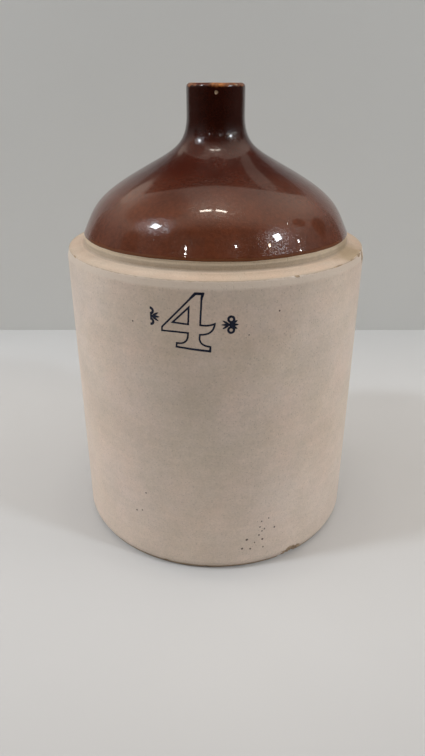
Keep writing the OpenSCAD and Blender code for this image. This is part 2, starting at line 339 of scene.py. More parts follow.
class Bench:
    """Modelling steps that every piece uses, done with Blender's own tools."""

    merge_limit = 2e-6
    round_turn = {"angle": 2 * math.pi, "center": (0, 0, 0), "axis": (0, 0, 1)}

    @staticmethod
    def clear() -> None:
        """Leaves edit mode and lets go of every piece."""
        if bpy.context.mode != "OBJECT":
            bpy.ops.object.mode_set(mode="OBJECT")
        bpy.ops.object.select_all(action="DESELECT")

    @classmethod
    def hold(cls, piece: Piece) -> None:
        """Makes a piece the only selected and active one."""
        cls.clear()
        piece.select_set(True)
        bpy.context.view_layer.objects.active = piece

    @classmethod
    def start(cls, name: str) -> Piece:
        """Adds a plane, merges it to one point at the origin and stays in edit mode."""
        cls.clear()
        bpy.ops.mesh.primitive_plane_add(size=MM, location=(0, 0, 0))
        piece = bpy.context.object
        piece.name = name
        piece.data.name = name
        bpy.ops.object.mode_set(mode="EDIT")
        bpy.ops.mesh.select_all(action="SELECT")
        bpy.ops.mesh.merge(type="CENTER")
        return piece

    @staticmethod
    def select(chosen: Callable[[bmesh.types.BMVert], bool]) -> None:
        """Selects just the points of the edited piece that a test picks."""
        bpy.ops.mesh.select_all(action="DESELECT")
        mesh = bmesh.from_edit_mesh(bpy.context.object.data)
        for vert in mesh.verts:
            vert.select_set(chosen(vert))
        mesh.select_flush_mode()
        bmesh.update_edit_mesh(bpy.context.object.data)

    @classmethod
    def draw(cls, points: Sequence[Vector], closed: bool) -> None:
        """Extrudes the one point of a started piece along a line.

        Args:
            points: Places in metres, the first for the point itself.
            closed: True to join the last place to the first.
        """
        bpy.ops.transform.translate(value=points[0])
        for before, after in zip(points, points[1:]):
            bpy.ops.mesh.extrude_region_move(TRANSFORM_OT_translate={"value": after - before})
        if closed:
            cls.select(lambda vert: len(vert.link_edges) == 1)
            bpy.ops.mesh.edge_face_add()

    @classmethod
    def merge(cls) -> None:
        """Merges points of the edited piece that lie on each other."""
        bpy.ops.mesh.select_all(action="SELECT")
        bpy.ops.mesh.remove_doubles(threshold=cls.merge_limit)

    @classmethod
    def spin(cls, **settings: Any) -> None:
        """Turns the drawn line round an axis and merges what meets."""
        bpy.ops.mesh.select_all(action="SELECT")
        bpy.ops.mesh.spin(**settings)
        cls.merge()

    @staticmethod
    def close() -> None:
        """Turns the edited piece's faces outwards and leaves edit mode."""
        bpy.ops.mesh.select_all(action="SELECT")
        bpy.ops.mesh.normals_make_consistent(inside=False)
        bpy.ops.object.mode_set(mode="OBJECT")

    @classmethod
    def turned(cls, name: str, outline: Sequence[Vector], closed: bool, steps: int) -> Piece:
        """Turns an outline round the jug's axis.

        Args:
            name: Name of the new piece.
            outline: Points of radius and height in millimetres.
            closed: True for a ring's section, False for one that starts and ends on the axis.
            steps: Steps round the axis.

        Returns:
            The new object, closed and with its faces outwards.
        """
        piece = cls.start(name)
        cls.draw([Vector((p[0], 0, p[1])) * MM for p in outline], closed)
        cls.spin(steps=steps, **cls.round_turn)
        cls.close()
        return piece

    @classmethod
    def refine(cls, piece: Piece, spots: Sequence[tuple[Vector, float]], cuts: int) -> None:
        """Subdivides the faces near some places.

        Args:
            piece: The piece to refine.
            spots: Places in metres, each with the distance within which faces are cut.
            cuts: How many cuts each edge gets.
        """
        cls.hold(piece)
        bpy.ops.object.mode_set(mode="EDIT")
        bpy.ops.mesh.select_mode(type="FACE")
        bpy.ops.mesh.select_all(action="DESELECT")
        mesh = bmesh.from_edit_mesh(piece.data)
        for face in mesh.faces:
            middle = face.calc_center_median()
            face.select_set(any((middle - place).length < reach for place, reach in spots))
        bmesh.update_edit_mesh(piece.data)
        bpy.ops.mesh.subdivide(number_cuts=cuts)
        bpy.ops.mesh.select_mode(type="VERT")
        bpy.ops.object.mode_set(mode="OBJECT")

    @staticmethod
    def reshape(piece: Piece, move: Callable[[Vector], Vector]) -> None:
        """Moves each point of a piece to where a function of its place says."""
        for vert in piece.data.vertices:
            vert.co = move(vert.co)
        piece.data.update()

    @staticmethod
    def mark_bare(piece: Piece, shares: Iterable[float]) -> None:
        """Writes for the finish how bare each point's clay is, with 0 for points without a share."""
        layer = piece.data.attributes.new(BARE, "FLOAT", "POINT")
        for row, share in zip(layer.data, shares):
            row.value = share

    @classmethod
    def apply(cls, piece: Piece, kind: str, **values: Any) -> None:
        """Adds a modifier to a piece and applies it.

        Args:
            piece: The piece to change.
            kind: Blender's name of the modifier's type.
            values: The modifier's settings.
        """
        cls.hold(piece)
        modifier = piece.modifiers.new(kind.title(), kind)
        for key, value in values.items():
            setattr(modifier, key, value)
        bpy.ops.object.modifier_apply(modifier=modifier.name)

    @classmethod
    def join(cls, piece: Piece, tool: Piece, operation: str) -> None:
        """Joins a tool body to a piece, or cuts it away, and removes the tool."""
        cls.apply(piece, "BOOLEAN", operation=operation, object=tool, solver="EXACT")
        bpy.data.objects.remove(tool, do_unlink=True)

    @classmethod
    def copy_of(cls, node: Piece, name: str) -> Piece:
        """Copies a solid node's mesh into a new piece and merges its loose triangles."""
        piece = bpy.data.objects.new(name, node.data.copy())
        piece.data.name = name
        bpy.context.scene.collection.objects.link(piece)
        piece.data.materials.clear()
        cls.hold(piece)
        bpy.ops.object.mode_set(mode="EDIT")
        cls.merge()
        bpy.ops.object.mode_set(mode="OBJECT")
        return piece


# ---------------------------------------------------------------------------------------------
# Node sheets and shared effects
# ---------------------------------------------------------------------------------------------


class Sheet:
    """A node tree that is being wired, with short calls for the nodes that finishes use."""

    def __init__(self, tree: Tree) -> None:
        """Keeps the tree and empties it."""
        self.tree = tree
        tree.nodes.clear()

    def node(self, kind: str, inputs: dict[str | int, Any] | None = None, **settings: Any) -> bpy.types.Node:
        """Adds a node.

        Args:
            kind: Blender's name of the node, without its usual first part.
            inputs: Sockets to link or values to set, by input name or number.
            settings: The node's own settings.

        Returns:
            The new node.
        """
        made = self.tree.nodes.new(kind if kind.startswith("Node") else "ShaderNode" + kind)
        for key, value in settings.items():
            setattr(made, key, value)
        for key, value in (inputs or {}).items():
            self.plug(made.inputs[key], value)
        return made

    def plug(self, socket: Socket, value: Any) -> None:
        """Links a socket to another, or sets its plain value."""
        if isinstance(value, bpy.types.NodeSocket):
            self.tree.links.new(value, socket)
        elif isinstance(value, tuple) and len(value) == 3 and socket.type == "RGBA":
            socket.default_value = (*value, 1.0)
        else:
            socket.default_value = value

    def maths(self, operation: str, *values: Any) -> Socket:
        """Result of a step on one to three values."""
        return self.node("Math", dict(enumerate(values)), operation=operation).outputs[0]

    def times(self, a: Any, b: Any) -> Socket:
        """Product of two values."""
        return self.maths("MULTIPLY", a, b)

    def scaled(self, a: Any, b: Any, offset: Any) -> Socket:
        """Product of two values, with an offset added."""
        return self.maths("MULTIPLY_ADD", a, b, offset)

    def less(self, a: Any, b: Any) -> Socket:
        """Difference of two values."""
        return self.maths("SUBTRACT", a, b)

    def most(self, a: Any, b: Any) -> Socket:
        """Greater of two values."""
        return self.maths("MAXIMUM", a, b)

    def apart(self, a: Any, b: Any) -> Socket:
        """Distance between two places."""
        return self.node("VectorMath", {0: a, 1: b}, operation="DISTANCE").outputs["Value"]

    def split(self, vector: Any) -> Any:
        """The three parts of a vector, by X, Y and Z."""
        return self.node("SeparateXYZ", {0: vector}).outputs

    def eased(self, value: Any, low: Any, high: Any, to_low: float = 0.0, to_high: float = 1.0) -> Socket:
        """Value that eases from one level to another while its input goes from low to high."""
        inputs = {"Value": value, "From Min": low, "From Max": high, "To Min": to_low, "To Max": to_high}
        return self.node("MapRange", inputs, interpolation_type="SMOOTHSTEP").outputs["Result"]

    def blend(self, share: Any, a: Any, b: Any) -> Socket:
        """Colour at a share of the way from one colour to another."""
        return self.node("Mix", {0: share, 6: a, 7: b}, data_type="RGBA").outputs[2]

    def toned(self, tone: Any, amount: float, colour: Any) -> Socket:
        """Colour made darker and lighter by a tone round one half."""
        inputs = {"Value": tone, "To Min": 1 - amount, "To Max": 1 + amount}
        scale = self.node("MapRange", inputs).outputs["Result"]
        return self.node("VectorMath", {0: colour, "Scale": scale}, operation="SCALE").outputs["Vector"]

    def clouds(self, vector: Any, scale: Any, detail: float = 3.0, roughness: float = 0.5) -> Socket:
        """Soft noise at a scale."""
        inputs = {"Vector": vector, "Scale": scale, "Detail": detail, "Roughness": roughness}
        return self.node("TexNoise", inputs).outputs["Fac"]

    def ragged(self, vector: Any, rag: Any, *texture: Any) -> Socket:
        """Noise round 0 for a ragged edge: how strong, then its scale, detail and roughness."""
        return self.times(self.less(self.clouds(vector, *texture), 0.5), rag)

    def place(self) -> Socket:
        """Place on the object, in metres."""
        return self.node("TexCoord").outputs["Object"]


class Effect(Enum):
    """Shared effects, each built once as a node group."""

    MOTTLE = "glaze_mottle"
    GRAIN = "clay_grain"
    SPECKS = "iron_specks"
    RINGS = "turning_rings"
    SPOT = "ragged_spot"
    BELT = "ragged_belt"
    RADIUS = "distance_from_axis"


class EffectGroup(Sheet):
    """A sheet with its own inputs and outputs, which holds a shared effect."""

    def __init__(self, effect: Effect, outputs: str, **defaults: float | None) -> None:
        """Makes the node group.

        Args:
            effect: The effect that it holds.
            outputs: Names of its outputs, with spaces between them.
            defaults: Default of each input after the place, with None for a vector.
        """
        super().__init__(bpy.data.node_groups.new(effect.value, "ShaderNodeTree"))
        for name, default in {"Vector": None, **defaults}.items():
            kind = "NodeSocketVector" if default is None else "NodeSocketFloat"
            named = name.replace("_", " ")
            socket = self.tree.interface.new_socket(name=named, in_out="INPUT", socket_type=kind)
            if default is not None:
                socket.default_value = default
        for name in outputs.split():
            self.tree.interface.new_socket(name=name, in_out="OUTPUT", socket_type="NodeSocketFloat")
        self.given = self.node("NodeGroupInput").outputs
        self.out = self.node("NodeGroupOutput").inputs
        self.where = self.given["Vector"]

    def give(self, **values: Socket) -> Tree:
        """Plugs the outputs by name and hands the finished group over."""
        for name, value in values.items():
            self.plug(self.out[name], value)
        return self.tree

    def cells(self, scale: Any) -> Any:
        """Distance and colour of scattered cells at a scale."""
        return self.node("TexVoronoi", {"Vector": self.where, "Scale": scale}, feature="F1").outputs


class EffectShelf:
    """Builds each shared effect on first use and places it in finishes."""

    def __init__(self) -> None:
        """Starts with an empty shelf."""
        self.groups: dict[Effect, Tree] = {}

    def add(self, sheet: Sheet, effect: Effect, **inputs: Any) -> Any:
        """Places an effect in a material.

        Args:
            sheet: The material's sheet.
            effect: Which effect.
            inputs: Its inputs, with underscores for spaces.

        Returns:
            The outputs of the group's node.
        """
        if effect not in self.groups:
            self.groups[effect] = getattr(self, "_" + effect.name.lower())()
        node = sheet.node("Group", node_tree=self.groups[effect])
        for key, value in inputs.items():
            sheet.plug(node.inputs[key.replace("_", " ")], value)
        return node.outputs

    @staticmethod
    def _mottle() -> Tree:
        """Soft clouds of tone, broken up by smaller ones."""
        g = EffectGroup(Effect.MOTTLE, "Tone", Scale=20.0, Edge=0.18)
        large = g.clouds(g.where, g.given["Scale"], 4.0, 0.55)
        finer = g.clouds(g.where, g.times(g.given["Scale"], 4.3), 3.0, 0.6)
        tone = g.scaled(finer, 0.3, g.times(large, 0.7))
        low, high = g.less(0.5, g.given["Edge"]), g.maths("ADD", 0.5, g.given["Edge"])
        return g.give(Tone=g.eased(tone, low, high))

    @staticmethod
    def _grain() -> Tree:
        """Sand in the clay: a fine uneven tone and its relief with small pits."""
        g = EffectGroup(Effect.GRAIN, "Tone Height", Scale=700.0, Pits=0.3)
        fine = g.clouds(g.where, g.given["Scale"], 3.0, 0.65)
        cells = g.cells(g.given["Scale"])
        chance = g.node("SeparateColor", {0: cells["Color"]}).outputs[0]
        chosen = g.maths("LESS_THAN", chance, g.given["Pits"])
        hollow = g.times(g.less(1.0, g.eased(cells["Distance"], 0.1, 0.45)), chosen)
        return g.give(Tone=g.less(fine, g.times(hollow, 0.5)), Height=g.less(g.times(fine, 0.6), hollow))

    @staticmethod
    def _specks() -> Tree:
        """Small specks of iron, each of its own size, in a share of the cells."""
        g = EffectGroup(Effect.SPECKS, "Mask", Spacing=0.012, Size=0.05, Share=0.3)
        cells = g.cells(g.maths("DIVIDE", 1.0, g.given["Spacing"]))
        split = g.node("SeparateColor", {0: cells["Color"]}).outputs
        size = g.times(g.given["Size"], g.eased(split[1], 0.0, 1.0, 0.35, 1.0))
        far = g.maths("ADD", cells["Distance"], g.times(g.clouds(g.where, 1800.0, 1.0), 0.04))
        dot = g.eased(far, g.times(size, 1.4), g.times(size, 0.7))
        return g.give(Mask=g.times(dot, g.maths("LESS_THAN", split[0], g.given["Share"])))

    @staticmethod
    def _rings() -> Tree:
        """Faint level rings from turning on the wheel."""
        g = EffectGroup(Effect.RINGS, "Height", Pitch=0.004, Waver=1.5)
        flat = g.node("VectorMath", {0: g.where, 1: (9.0, 9.0, 60.0)}, operation="MULTIPLY").outputs[0]
        drift = g.times(g.clouds(flat, 1.0, 3.0), g.given["Waver"])
        phase = g.maths("ADD", g.maths("DIVIDE", g.split(g.where)["Z"], g.given["Pitch"]), drift)
        wave = g.maths("SINE", g.times(phase, 2 * math.pi))
        return g.give(Height=g.scaled(wave, 0.25, g.clouds(flat, 7.0, 3.0, 0.6)))

    @staticmethod
    def _spot() -> Tree:
        """A spot with a ragged edge round a place."""
        g = EffectGroup(Effect.SPOT, "Mask", Centre=None, Radius=0.005, Rag=0.3, Softness=0.3)
        share = g.maths("DIVIDE", g.apart(g.where, g.given["Centre"]), g.given["Radius"])
        scale = g.maths("DIVIDE", 1.6, g.given["Radius"])
        rag = g.ragged(g.where, g.times(g.given["Rag"], 2.0), scale, 3.0)
        return g.give(Mask=g.eased(g.maths("ADD", share, rag), 1.0, g.less(1.0, g.given["Softness"])))

    @staticmethod
    def _belt() -> Tree:
        """A level belt with ragged edges."""
        g = EffectGroup(Effect.BELT, "Mask", Value=0.0, Level=0.0, Half_width=0.002, Rag=0.001, Scale=200.0)
        rag = g.ragged(g.where, g.times(g.given["Rag"], 2.0), g.given["Scale"], 4.0, 0.6)
        far = g.maths("ADD", g.maths("ABSOLUTE", g.less(g.given["Value"], g.given["Level"])), rag)
        half = g.given["Half width"]
        return g.give(Mask=g.eased(far, half, g.times(half, 0.55)))

    @staticmethod
    def _radius() -> Tree:
        """Distance from the jug's axis, and height."""
        g = EffectGroup(Effect.RADIUS, "Radius Height")
        flat = g.node("VectorMath", {0: g.where, 1: (1.0, 1.0, 0.0)}, operation="MULTIPLY").outputs["Vector"]
        length = g.node("VectorMath", {0: flat}, operation="LENGTH").outputs["Value"]
        return g.give(Radius=length, Height=g.split(g.where)["Z"])


@dataclass(frozen=True)
class Pattern:
    """What every use of a shared effect has: its values, under the names of the effect's inputs."""

    def inputs(self) -> dict[str, Any]:
        """Values by input, with underscores for spaces."""
        return {f.name.capitalize(): getattr(self, f.name) for f in fields(self)}


@dataclass(frozen=True)
class Mottle(Pattern):
    """Clouds of tone, with the width of their edges."""

    scale: float
    edge: float
    effect = Effect.MOTTLE


@dataclass(frozen=True)
class Grain(Pattern):
    """Sandy grain, with the share of pits."""

    scale: float
    pits: float
    effect = Effect.GRAIN


@dataclass(frozen=True)
class Rings(Pattern):
    """Turning rings: how far apart, and how much they waver."""

    pitch: float
    waver: float
    effect = Effect.RINGS


@dataclass(frozen=True)
class Specks(Pattern):
    """Specks: spacing, size as a share of it, and the share of places that has one."""

    spacing: float
    size: float
    share: float
    effect = Effect.SPECKS


@dataclass(frozen=True)
class Spot(Pattern):
    """A ragged spot at a place."""

    centre: Vector
    radius: float
    rag: float
    softness: float
    effect = Effect.SPOT


@dataclass(frozen=True)
class Belt(Pattern):
    """A ragged belt round a level, which may be a height or a radius."""

    level: float
    half_width: float
    rag: float
    scale: float
    effect = Effect.BELT


# ---------------------------------------------------------------------------------------------
# Finishes
# ---------------------------------------------------------------------------------------------


@dataclass
class Surface:
    """A material while its finish wires it, with the colour and the relief so far."""

    name: str
    shelf: EffectShelf
    sizes: JugSizes
    colour: Any = None
    relief: Socket | None = None

    def __post_init__(self) -> None:
        """Makes the material with an empty shader."""
        self.material = bpy.data.materials.new(self.name)
        self.material.use_nodes = True
        self.sheet = Sheet(self.material.node_tree)
        self.shader = self.sheet.node("BsdfPrincipled")
        self.sheet.node("OutputMaterial", {"Surface": self.shader.outputs["BSDF"]})
        self.place = self.sheet.place()

    def add(self, pattern: Pattern, **others: Any) -> Any:
        """Outputs of a shared effect that is placed on this surface."""
        return self.shelf.add(self.sheet, pattern.effect, Vector=self.place, **pattern.inputs(), **others)

    def mask(self, pattern: Pattern, **others: Any) -> Socket:
        """First output of a shared effect that is placed on this surface."""
        return self.add(pattern, **others)[0]

    def polar(self) -> Any:
        """Distance from the axis and height, by name."""
        return self.shelf.add(self.sheet, Effect.RADIUS, Vector=self.place)

    def clouds(self, scale: float, *values: float) -> Socket:
        """Soft noise on this surface, with its detail and roughness."""
        return self.sheet.clouds(self.place, scale, *values)

    def start(self, share: Any, a: Any, b: Any) -> None:
        """Starts the colour with a blend of two."""
        self.colour = self.sheet.blend(share, a, b)

    def cover(self, tint: Any, mask: Any, amount: float = 1.0) -> None:
        """Covers the colour so far with another.

        Args:
            tint: The other colour.
            mask: Where it lies.
            amount: How much of it shows there.
        """
        share = mask if amount == 1.0 else self.sheet.times(mask, amount)
        self.colour = self.sheet.blend(share, self.colour, tint)

    def tone(self, mask: Any, amount: float) -> None:
        """Makes the colour so far darker and lighter by a tone."""
        self.colour = self.sheet.toned(mask, amount, self.colour)

    def bump(self, height: Any, depth: float) -> None:
        """Adds relief on top of what the surface has.

        Args:
            height: Height socket.
            depth: Height in metres that a value of 1 stands for.
        """
        inputs = {"Height": height, "Distance": depth, "Strength": 1.0}
        if self.relief is not None:
            inputs["Normal"] = self.relief
        self.relief = self.sheet.node("Bump", inputs).outputs["Normal"]

    def bare(self) -> Socket:
        """Share of bare clay that the piece's own attribute gives, with a crisp ragged edge."""
        share = self.sheet.node("Attribute", attribute_name=BARE).outputs["Fac"]
        rag = self.sheet.ragged(self.place, 0.3, 900.0)
        return self.sheet.eased(self.sheet.maths("ADD", share, rag), 0.08, 0.3)

    def close(self, roughness: Any, **others: Any) -> None:
        """Plugs colour, roughness and relief into the shader.

        Args:
            roughness: Roughness socket or value.
            others: Plain values, or a coat weight socket, with underscores for spaces.
        """
        wired = {"Base Color": self.colour, "Roughness": roughness, "Normal": self.relief, **others}
        for key, value in wired.items():
            self.sheet.plug(self.shader.inputs[key.replace("_", " ")], value)


@dataclass(frozen=True)
class Finish:
    """What every finish shares: its name, and how its material is made."""

    name: str

    def make(self, shelf: EffectShelf, sizes: JugSizes) -> bpy.types.Material:
        """Builds the material.

        Args:
            shelf: The shared effects.
            sizes: The jug's sizes.

        Returns:
            The material.
        """
        surface = Surface(self.name, shelf, sizes)
        self.wire(surface)
        return surface.material


@dataclass(frozen=True)
class PaleGlaze(Finish):
    """Off-white satin glaze of the body, with stains, iron specks and turning rings."""

    name: str = "pale_glaze"
    base: Colour = (0.70, 0.572, 0.472)
    cream: Colour = (0.775, 0.65, 0.528)
    rim: Colour = (0.66, 0.565, 0.475)
    olive: Colour = (0.465, 0.385, 0.27)
    blush: Colour = (0.80, 0.605, 0.505)
    mauve: Colour = (0.69, 0.605, 0.575)
    clay: Colour = (0.42, 0.31, 0.205)
    iron: Colour = (0.045, 0.02, 0.011)
    cloud: Mottle = Mottle(13.0, 0.3)
    patch: Mottle = Mottle(46.0, 0.25)
    crumb: Mottle = Mottle(300.0, 0.2)
    grain: Grain = Grain(560.0, 0.22)
    rings: Rings = Rings(0.0105, 1.6)
    rim_band: Belt = Belt(0.2775, 0.0052, 0.0012, 60.0)
    rim_edge: Belt = Belt(0.2802, 0.0016, 0.0014, 230.0)
    # Belt at the foot: glaze thinning over the clay, and also a painted contact shadow where the jug stands.
    foot_edge: Belt = Belt(0.0, 0.0055, 0.0022, 140.0)
    stray: Specks = Specks(0.016, 0.045, 0.16)
    crowd: Specks = Specks(0.0052, 0.12, 0.45)
    tinge_edge: float = 0.16
    # Turn, height and reach in millimetres, and strength of each stain.
    stains: tuple[tuple[float, float, float, float], ...] = (
        (-13.0, 232.0, 34.0, 0.5),
        (-9.0, 180.0, 46.0, 0.45),
        (-2.0, 130.0, 40.0, 0.35),
        (6.0, 225.0, 26.0, 0.3),
    )
    # Turn, height and radius in millimetres of each speck, pit or scuff.
    specks: tuple[tuple[float, float, float], ...] = (
        (12.2, 33.5, 1.3),
        (18.6, 31.0, 1.15),
        (10.4, 23.6, 1.15),
        (13.7, 22.2, 1.0),
        (18.0, 51.8, 0.85),
        (17.4, 45.7, 0.9),
        (19.3, 42.5, 0.85),
        (18.3, 40.6, 0.8),
        (23.6, 41.6, 1.0),
        (17.1, 36.6, 0.95),
        (20.9, 53.8, 0.75),
        (15.4, 28.9, 0.75),
        (19.0, 21.6, 0.85),
        (-32.5, 53.6, 0.9),
        (-29.8, 55.9, 0.8),
        (-27.6, 77.0, 0.85),
        (21.1, 253.8, 0.8),
        (10.8, 236.3, 0.62),
        (-28.9, 242.5, 0.75),
    )
    speck_spread: float = 1.18

    def _iron(self, s: Surface) -> Socket:
        """Mask of all iron specks: stray ones, the crowd near the foot and those at known places."""
        sheet, sizes = s.sheet, s.sizes
        stray = s.mask(self.stray)
        near = s.mask(Spot(at_turn(20.0, sizes.wall_foot_r, 38.0), 0.042, 0.35, 0.9))
        iron = sheet.most(stray, sheet.times(s.mask(self.crowd), near))
        for turn, level, radius in self.specks:
            centre = at_turn(turn, sizes.body_at(level), level)
            iron = sheet.most(iron, s.mask(Spot(centre, radius * self.speck_spread * MM, 0.35, 0.45)))
        return iron

    def wire(self, s: Surface) -> None:
        """Lays tinges, stains, belts, specks and chips over the clouds."""
        sheet = s.sheet
        cloud, patch, rings = s.mask(self.cloud), s.mask(self.patch), s.mask(self.rings)
        grain = s.add(self.grain)
        s.start(cloud, self.base, self.cream)
        for tint, scale, amount in ((self.blush, 17.0, 0.5), (self.mauve, 11.0, 0.45), (self.olive, 24.0, 0.3)):
            s.cover(tint, s.mask(Mottle(scale, self.tinge_edge)), amount)
        for turn, level, reach, amount in self.stains:
            centre = at_turn(turn, s.sizes.body_at(level), level)
            s.cover(self.olive, s.mask(Spot(centre, reach * MM, 0.5, 1.6)), amount)
        s.cover(self.olive, patch, 0.12)
        for tone, amount in ((patch, 0.04), (rings, 0.02), (grain["Tone"], 0.2)):
            s.tone(tone, amount)
        height = s.polar()["Height"]
        for belt, tint, amount in (
            (self.rim_band, self.rim, 0.7),
            (self.rim_edge, self.clay, 0.6),
            # The foot belt is partly a painted contact shadow.
            (self.foot_edge, self.clay, 0.6),
        ):
            s.cover(tint, s.mask(belt, Value=height), amount)
        iron, bare = self._iron(s), s.bare()
        s.cover(self.iron, iron, 0.92)
        s.cover(sheet.toned(s.mask(self.crumb), 0.35, self.clay), bare)
        satin = sheet.scaled(cloud, 0.08, 0.36)
        dull = sheet.eased(sheet.most(bare, sheet.times(iron, 0.4)), 0.0, 1.0, 0.0, 0.45)
        s.bump(rings, 0.00003)
        s.bump(s.clouds(240.0), 0.00009)
        s.bump(grain["Height"], 0.0001)
        s.bump(sheet.times(s.clouds(1500.0), bare), 0.0006)
        s.close(sheet.maths("ADD", satin, dull), IOR=1.5)


@dataclass(frozen=True)
class BrownGlaze(Finish):
    """Glossy slip glaze: red-brown on the dome, nearly black up the neck, worn at the lip."""

    name: str = "brown_glaze"
    dome: Colour = (0.112, 0.0295, 0.012)
    high: Colour = (0.048, 0.0066, 0.002)
    neck: Colour = (0.026, 0.0042, 0.0016)
    thin: Colour = (0.20, 0.085, 0.04)
    thinned: Colour = (0.085, 0.016, 0.006)
    worn: Colour = (0.34, 0.12, 0.03)
    clay: Colour = (0.36, 0.25, 0.16)
    cloud: Mottle = Mottle(30.0, 0.16)
    fleck: Mottle = Mottle(330.0, 0.2)
    rubbed: Mottle = Mottle(230.0, 0.12)
    patchy: Mottle = Mottle(120.0, 0.07)
    nicks: Specks = Specks(0.0056, 0.30, 0.34)
    lip: Belt = Belt(0.4152, 0.0050, 0.0040, 150.0)
    handled: Spot = Spot(at_turn(4.0, 24.0, 412.5), 0.009, 0.5, 0.6)
    roughness: float = 0.16
    coat: float = 0.5
    hollow_coat: float = 0.36
    neck_coat: float = 0.44
    coat_roughness: float = 0.035
    has_lip: bool = True

    def _wear_lip(self, s: Surface, height: Socket, rough: Socket) -> Socket:
        """Wears the glaze off the lip and off the pit on the neck.

        Args:
            s: The surface.
            height: Height of each place.
            rough: The roughness so far.

        Returns:
            The roughness with the worn places.
        """
        sheet = s.sheet
        top, rubbed = s.mask(self.lip, Value=height), s.mask(self.rubbed)
        patchy = sheet.most(sheet.times(s.mask(self.patchy), 0.6), s.mask(self.handled))
        s.cover(self.thinned, top)
        s.cover(sheet.toned(rubbed, 0.5, self.worn), sheet.times(top, patchy))
        s.cover(self.clay, sheet.times(top, s.mask(self.nicks)))
        bare = s.bare()
        s.cover(sheet.toned(rubbed, 0.4, self.clay), bare)
        s.bump(sheet.times(rubbed, sheet.most(top, bare)), 0.0002)
        return sheet.scaled(bare, 0.5, sheet.scaled(top, 0.16, rough))

    def wire(self, s: Surface) -> None:
        """Darkens the glaze upwards, thins it at its lower edge and puts a clear coat on it."""
        sheet = s.sheet
        height = s.polar()["Height"]
        drift = sheet.scaled(s.clouds(34.0), 0.02, sheet.less(height, 0.01))
        s.start(sheet.eased(drift, 0.318, 0.352), self.dome, self.high)
        s.cover(self.neck, sheet.eased(drift, 0.360, 0.379))
        cloud = s.mask(self.cloud)
        s.tone(cloud, 0.12)
        s.tone(s.mask(self.fleck), 0.16)
        foot_edge = Belt(s.sizes.dome_z * MM, 0.0022, 0.0011, 90.0)
        s.cover(self.thin, s.mask(foot_edge, Value=height), 0.5)
        rough = sheet.scaled(cloud, 0.03, self.roughness)
        s.bump(s.clouds(95.0, 2.0), 0.0003)
        s.bump(s.clouds(760.0, 2.0, 0.6), 0.00021)
        if self.has_lip:
            rough = self._wear_lip(s, height, rough)
        coat = sheet.eased(drift, 0.345, 0.354, self.coat, self.hollow_coat)
        neck_coat = sheet.eased(drift, 0.366, 0.380, 0.0, self.neck_coat - self.hollow_coat)
        coat = sheet.maths("ADD", coat, neck_coat)
        s.close(rough, IOR=1.27, Coat_Weight=coat, Coat_Roughness=self.coat_roughness, Coat_IOR=1.5)


@dataclass(frozen=True)
class LedgeClay(Finish):
    """Bare cream clay of the stacking ledge and of the step under the brown glaze."""

    name: str = "ledge_clay"
    cream: Colour = (0.56, 0.465, 0.375)
    toasted: Colour = (0.55, 0.40, 0.30)
    dirty: Colour = (0.36, 0.295, 0.235)
    # Tan wash of the step, painted lighter to make up for the shade under the dome's edge.
    step: Colour = (0.64, 0.52, 0.37)
    clay: Colour = (0.38, 0.265, 0.175)
    stained: Colour = (0.38, 0.295, 0.195)
    warm: Mottle = Mottle(16.0, 0.14)
    soil: Mottle = Mottle(60.0, 0.12)
    grain: Grain = Grain(850.0, 0.3)
    rings: Rings = Rings(0.0024, 0.7)
    corner: Belt = Belt(0.1222, 0.0014, 0.0006, 120.0)
    edge: Belt = Belt(0.1353, 0.0008, 0.0009, 230.0)
    stain: Spot = Spot(at_turn(64.0, 131.0, 281.0), 0.036, 0.5, 0.7)
    front: Spot = Spot(at_turn(10.0, 130.0, 281.0), 0.075, 0.4, 1.5)
    specks: Specks = Specks(0.011, 0.05, 0.3)

    def wire(self, s: Surface) -> None:
        """Lays toasting, dirt, stains and turning rings over the clay."""
        sheet, polar = s.sheet, s.polar()
        soil, grain, rings = s.mask(self.soil), s.add(self.grain), s.mask(self.rings)
        s.start(sheet.times(s.mask(self.warm), 0.6), self.cream, self.toasted)
        # The step's own tan wash, partly painted light against the shade that falls on it.
        s.cover(self.step, sheet.eased(polar["Height"], 0.2829, 0.2842), 0.85)
        # Darker along the inner corner where the ledge meets the step.
        s.cover(self.dirty, s.mask(self.corner, Value=polar["Radius"]), 0.5)
        s.cover(self.dirty, soil, 0.14)
        s.tone(grain["Tone"], 0.16)
        s.tone(rings, 0.07)
        s.cover(self.stained, s.mask(self.stain), 0.92)
        s.cover(self.stained, s.mask(self.front), 0.3)
        s.cover(self.clay, s.mask(self.edge, Value=polar["Radius"]), 0.6)
        s.cover(self.clay, s.mask(self.specks), 0.7)
        bare = s.bare()
        s.cover(sheet.toned(soil, 0.3, self.clay), bare)
        s.bump(rings, 0.00014)
        s.bump(grain["Height"], 0.00016)
        s.bump(sheet.times(s.clouds(1100.0), bare), 0.0006)
        s.close(sheet.scaled(soil, 0.1, 0.66), IOR=1.45)


